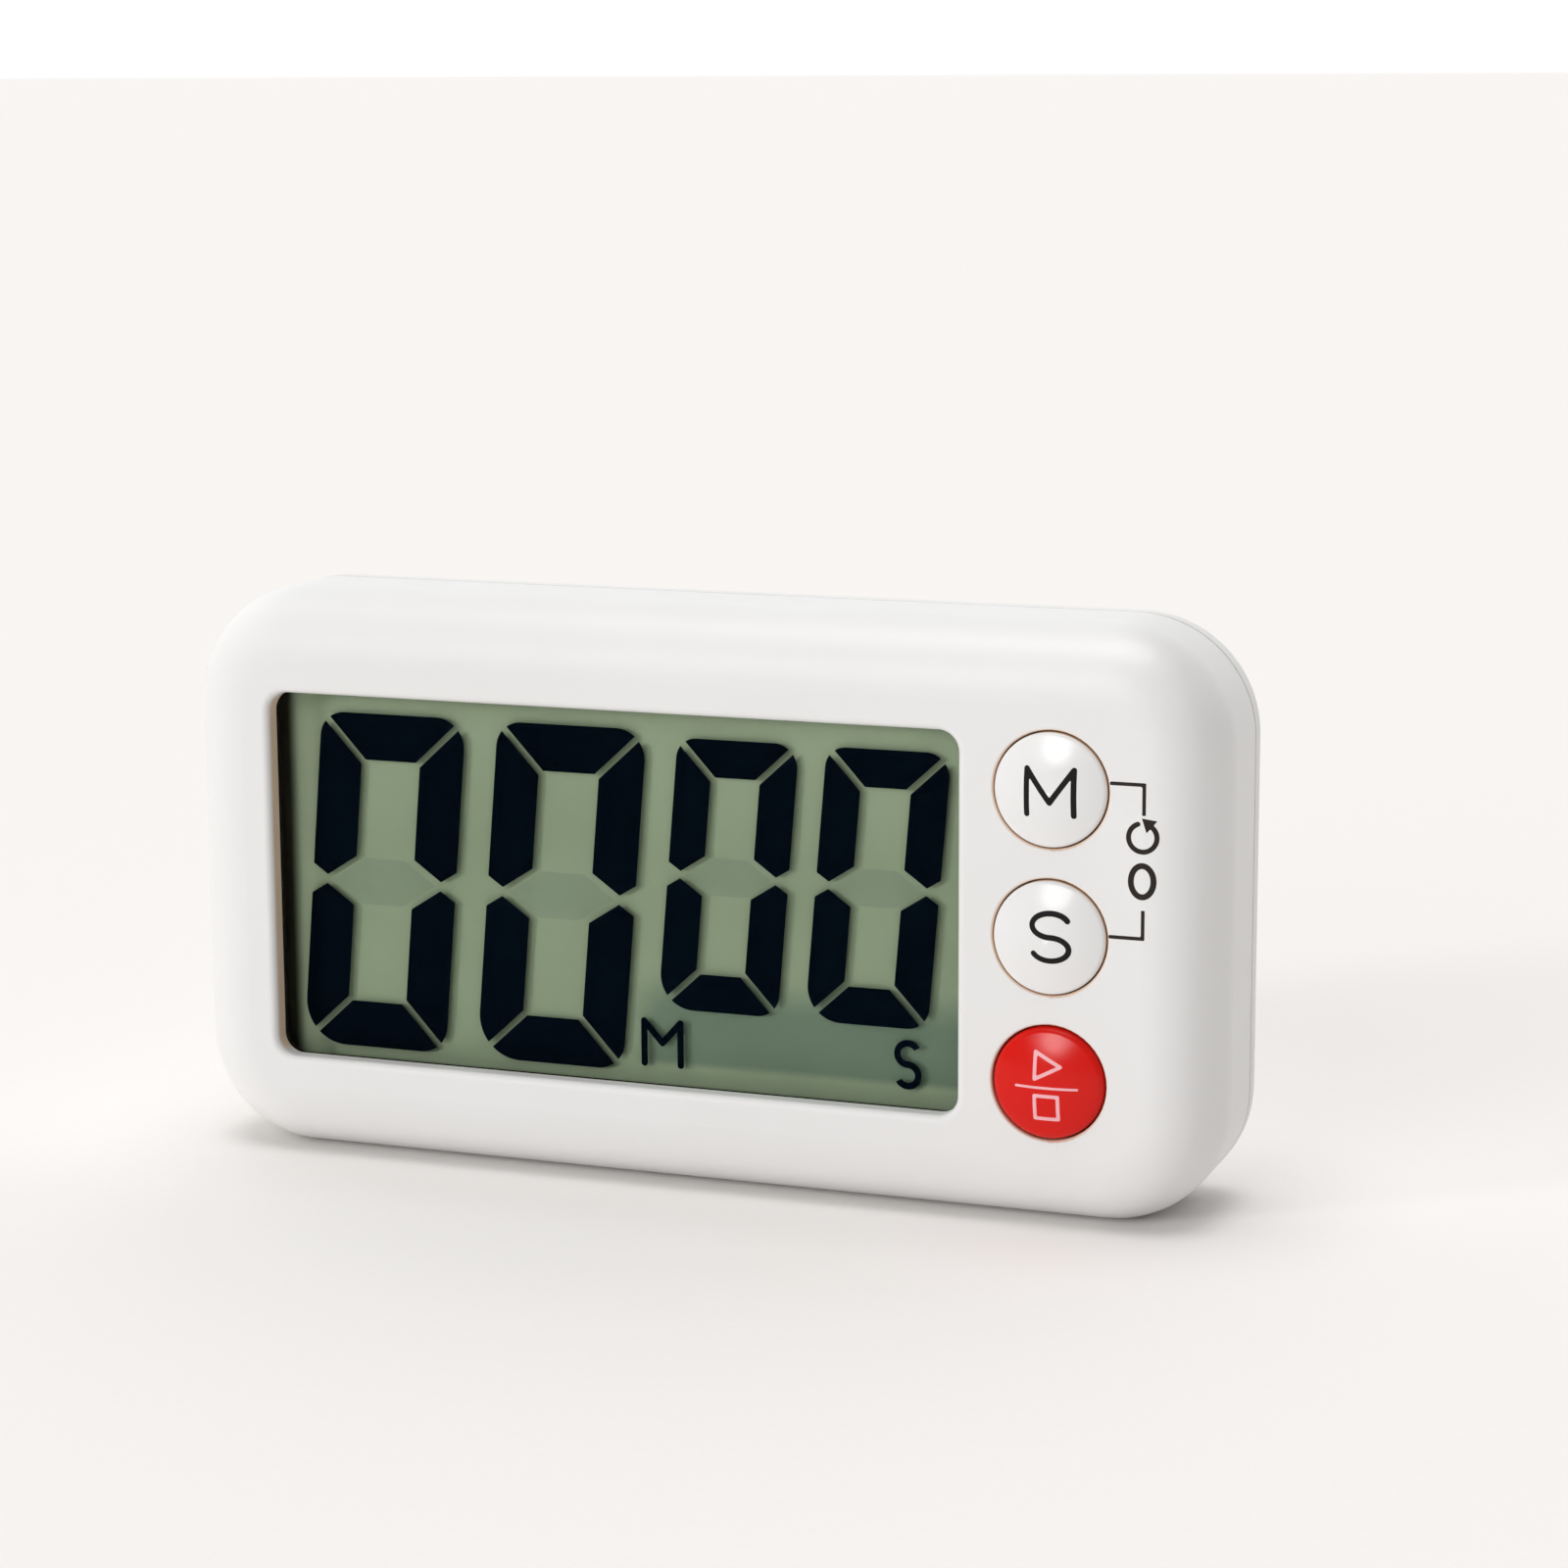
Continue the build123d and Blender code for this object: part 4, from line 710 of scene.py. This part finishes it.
def ink(name, colour, shade, roughness):
    shader = Shader(name)
    mottle = shader.noise(MOTTLE_MM, detail=4.0)
    tone = shader.blend(shader.swing(mottle), colour, shade)
    gloss = shader.swing(mottle, roughness - 0.05, roughness + 0.05)
    grain = shader.bump(shader.noise(INK_GRAIN_MM), INK_GRAIN_DEPTH_MM)
    shader.surface(tone, gloss, grain, Specular_IOR_Level=0.15)
    return shader


black_ink = ink("black_ink", (0.008, 0.007, 0.007), (0.012, 0.010, 0.010), 0.5)
brown_ink = ink("brown_ink", (0.022, 0.016, 0.014), (0.032, 0.024, 0.021), 0.6)
pink_ink = ink("pink_ink", (0.90, 0.48, 0.52), (0.86, 0.44, 0.48), 0.35)


def shifted(points, centre):
    """Points given from a button's centre."""
    return [(x + centre.x / MM, z + centre.z / MM) for x, z in points]


def around(centre, reach):
    """Lowest and highest corner of a square about a button's centre."""
    middle = (centre.x / MM, centre.z / MM)
    return [m - reach for m in middle], [m + reach for m in middle]


MARK_HALF = 0.25  # half widths of the lines
SIGN_HALF = 0.16
RULE_HALF = 0.11
LINE_HALF = 0.16
letter_m = shifted([(-1.85, -2.0), (-1.85, 2.0), (0.25, -0.9), (2.35, 2.0), (2.35, -2.0)], MINUTE)
printed("minute_print", "minute_button", "pad_carbon", black_ink, "minute_button",
        [stroke(letter_m, MARK_HALF)], *around(MINUTE, 3.2))

LOBE = (1.65, 1.05)
upper = arc((0.4, 1.35), LOBE, 25, 270)
lower = arc((0.4, -0.75), LOBE, 90, -155)
printed("second_print", "second_button", "pad_carbon", black_ink, "second_button",
        [stroke(shifted(upper + lower[1:], SECOND), MARK_HALF)], *around(SECOND, 3.4))

play = [(-0.95, 0.6), (-0.95, 3.0), (1.35, 1.8), (-0.95, 0.6), (-0.95, 3.0)]
stop = [(-0.95, -0.9), (1.15, -0.9), (1.15, -3.0), (-0.95, -3.0), (-0.95, -0.9)]
rule = [(-2.7, -0.15), (2.85, -0.15)]
printed("start_print", "start_button", "button_white", pink_ink, "start_button",
        [stroke(shifted(play, START), SIGN_HALF), stroke(shifted(stop, START), SIGN_HALF),
         stroke(shifted(rule, START), RULE_HALF)],
        *around(START, 3.5))

bracket_top, bracket_bottom = MINUTE.z / MM + 0.93, SECOND.z / MM + 0.5
bracket_start, bracket_end = MINUTE.x / MM + 5.3, MINUTE.x / MM + 8.35
middle = (bracket_top + bracket_bottom) / 2
bracket = [
    bar(bracket_start, bracket_top - LINE_HALF, bracket_end + LINE_HALF, bracket_top + LINE_HALF),
    bar(bracket_end - LINE_HALF, bracket_top - 2.7, bracket_end + LINE_HALF, bracket_top),
    bar(bracket_start, bracket_bottom - LINE_HALF, bracket_end + LINE_HALF, bracket_bottom + LINE_HALF),
    bar(bracket_end - LINE_HALF, bracket_bottom, bracket_end + LINE_HALF, bracket_bottom + 2.5),
]
RING = 1.25
RING_HALF = 0.22
RING_START, RING_END = -250.0, 50.0
HEAD_LENGTH, HEAD_HALF = 1.15, 0.72
ZERO = (1.0, 1.38)
ZERO_HALF = 0.26
RING_STEPS = 40
ring_centre = (bracket_end - 0.1, middle + 2.15)
zero_centre = (bracket_end - 0.1, middle - 1.7)


def arrow_head(centre, radius, angle, length, half_width):
    """Triangle that ends an arc, pointing counter-clockwise along it."""
    turn = math.radians(angle)
    out = Vector((math.cos(turn), math.sin(turn)))
    ahead = Vector((-out.y, out.x))
    base = Vector(centre) + out * radius
    return [tuple(base + out * half_width), tuple(base + ahead * length), tuple(base - out * half_width)]


reset = [
    stroke(arc(ring_centre, (RING, RING), RING_START, RING_END, RING_STEPS), RING_HALF),
    patch(arrow_head(ring_centre, RING, RING_END, HEAD_LENGTH, HEAD_HALF)),
    stroke(arc(zero_centre, ZERO, 0, 360, RING_STEPS), ZERO_HALF),
]
printed("reset_print", "case", "pad_carbon", brown_ink, "front_case", bracket + reset,
        (bracket_start - 0.3, bracket_bottom - 0.6), (bracket_end + 2.0, bracket_top + 0.6))

# ---------------------------------------------------------------- unlit segments

# shares of a numeral's height
GHOST_HALF_HEIGHT = 0.0685
GHOST_FLAT = 0.0655
GHOST_TIP = 0.165
GHOST_SLANT = 0.0865
GHOST_INSET = 0.006 * MM  # from the faces of the liquid crystal layer
# each middle bar's place from the window's middle, and its numeral's height, in millimetres
NUMERALS = [(-23.85, -0.75, 32.06), (-5.79, -0.75, 32.06), (10.77, 2.08, 25.33), (25.10, 2.08, 25.33)]

ghost = Shader("unlit_crystal")
cloud = ghost.noise(2.0, detail=3.0)
tint = ghost.blend(ghost.swing(cloud), (0.957, 0.961, 0.973), (0.948, 0.953, 0.966))
film = ghost.add("ShaderNodeBsdfTransparent", {"Color": tint})
ghost.show(film.outputs[0])

low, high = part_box("lcd_segments")
front_y, back_y = low.y + GHOST_INSET, high.y - GHOST_INSET
top, bottom, cells = [], [], []
for offset_x, offset_z, height in NUMERALS:
    cx, cz = WINDOW.x / MM + offset_x, WINDOW.z / MM + offset_z
    half, flat, tip = (height * part for part in (GHOST_HALF_HEIGHT, GHOST_FLAT, GHOST_TIP))
    corners = [(-tip, 0), (-flat, -half), (flat, -half), (tip, 0), (flat, half), (-flat, half)]
    cells.append(list(range(len(top), len(top) + len(corners))))
    for dx, dz in corners:
        spot = ((cx + dx + dz * GHOST_SLANT) * MM, (cz + dz) * MM)
        top.append(Vector((spot[0], front_y, spot[1])))
        bottom.append(Vector((spot[0], back_y, spot[1])))
solid_film("unlit_segments", "case", ghost, top, bottom, cells)

# ---------------------------------------------------------------- light and floor

CLEAR_BOUNCES = 24  # more than the display's stack of clear faces

scene = bpy.context.scene
scene.view_settings.view_transform = "Standard"
scene.view_settings.look = "None"
scene.cycles.transparent_max_bounces = CLEAR_BOUNCES

SKY_EVEN = 0.235
SKY_BEHIND = 0.86
SKY_BEHIND_AIM = Vector((-0.35, 0.92, 0.2)).normalized()

world = bpy.data.worlds.new("studio")
scene.world = world
world.use_nodes = True
sky = world.node_tree
background = sky.nodes["Background"]
background.inputs["Color"].default_value = (1.0, 1.0, 1.0, 1.0)
toward = sky.nodes.new("ShaderNodeTexCoord").outputs["Generated"]
aim = sky.nodes.new("ShaderNodeVectorMath")
aim.operation = "DOT_PRODUCT"
aim.inputs[1].default_value = SKY_BEHIND_AIM
sky.links.new(toward, aim.inputs[0])
lobe = sky.nodes.new("ShaderNodeMath")
lobe.operation = "MAXIMUM"
lobe.inputs[1].default_value = 0.0
sky.links.new(aim.outputs["Value"], lobe.inputs[0])
level = sky.nodes.new("ShaderNodeMath")
level.operation = "MULTIPLY_ADD"
level.inputs[1].default_value = SKY_BEHIND
level.inputs[2].default_value = SKY_EVEN
sky.links.new(lobe.outputs[0], level.inputs[0])
sky.links.new(level.outputs[0], background.inputs["Strength"])


def far_light(name, toward_light, strength, softness_deg):
    """Soft light from far away, so that it is even over the whole floor."""
    data = bpy.data.lights.new(name, "SUN")
    data.energy = strength
    data.angle = math.radians(softness_deg)
    lamp = bpy.data.objects.new(name, data)
    scene.collection.objects.link(lamp)
    lamp.rotation_mode = "QUATERNION"
    lamp.rotation_quaternion = (-Vector(toward_light)).to_track_quat("-Z", "Y")
    return lamp


key = far_light("key", (-0.70, -0.70, 0.16), 1.05, 9)
key.visible_glossy = False
far_light("front", (-0.22, -0.88, 0.42), 0.62, 34)
far_light("overhead", (0.0, -0.05, 1.0), 1.35, 40)

# soft glint on the polished caps, from a lamp that lights nothing else
caps = bpy.data.collections.new("caps")
for name in ("minute_button", "second_button", "start_button"):
    caps.objects.link(nodes[name])
glint = far_light("glint", (-0.15, -0.88, 0.45), 2.0, 26)
glint.visible_diffuse = False
glint.light_linking.receiver_collection = caps

FLOOR_HALF = 30.0
FLOOR_CORNERS = ((-1, -1), (1, -1), (1, 1), (-1, 1))
mesh = bpy.data.meshes.new("floor")
mesh.from_pydata([(x * FLOOR_HALF, y * FLOOR_HALF, 0) for x, y in FLOOR_CORNERS], [], [(0, 1, 2, 3)])
floor = bpy.data.objects.new("floor", mesh)
scene.collection.objects.link(floor)
floor.location.z = CAD_LOW.z
ground = Shader("floor_paper")
fibre = ground.noise(0.8, detail=4.0)
tone = ground.blend(ground.swing(fibre), (0.91, 0.885, 0.865), (0.90, 0.875, 0.855))
ground.surface(tone, 0.9, ground.bump(fibre, 0.01), Specular_IOR_Level=0.1)
mesh.materials.append(ground.material)
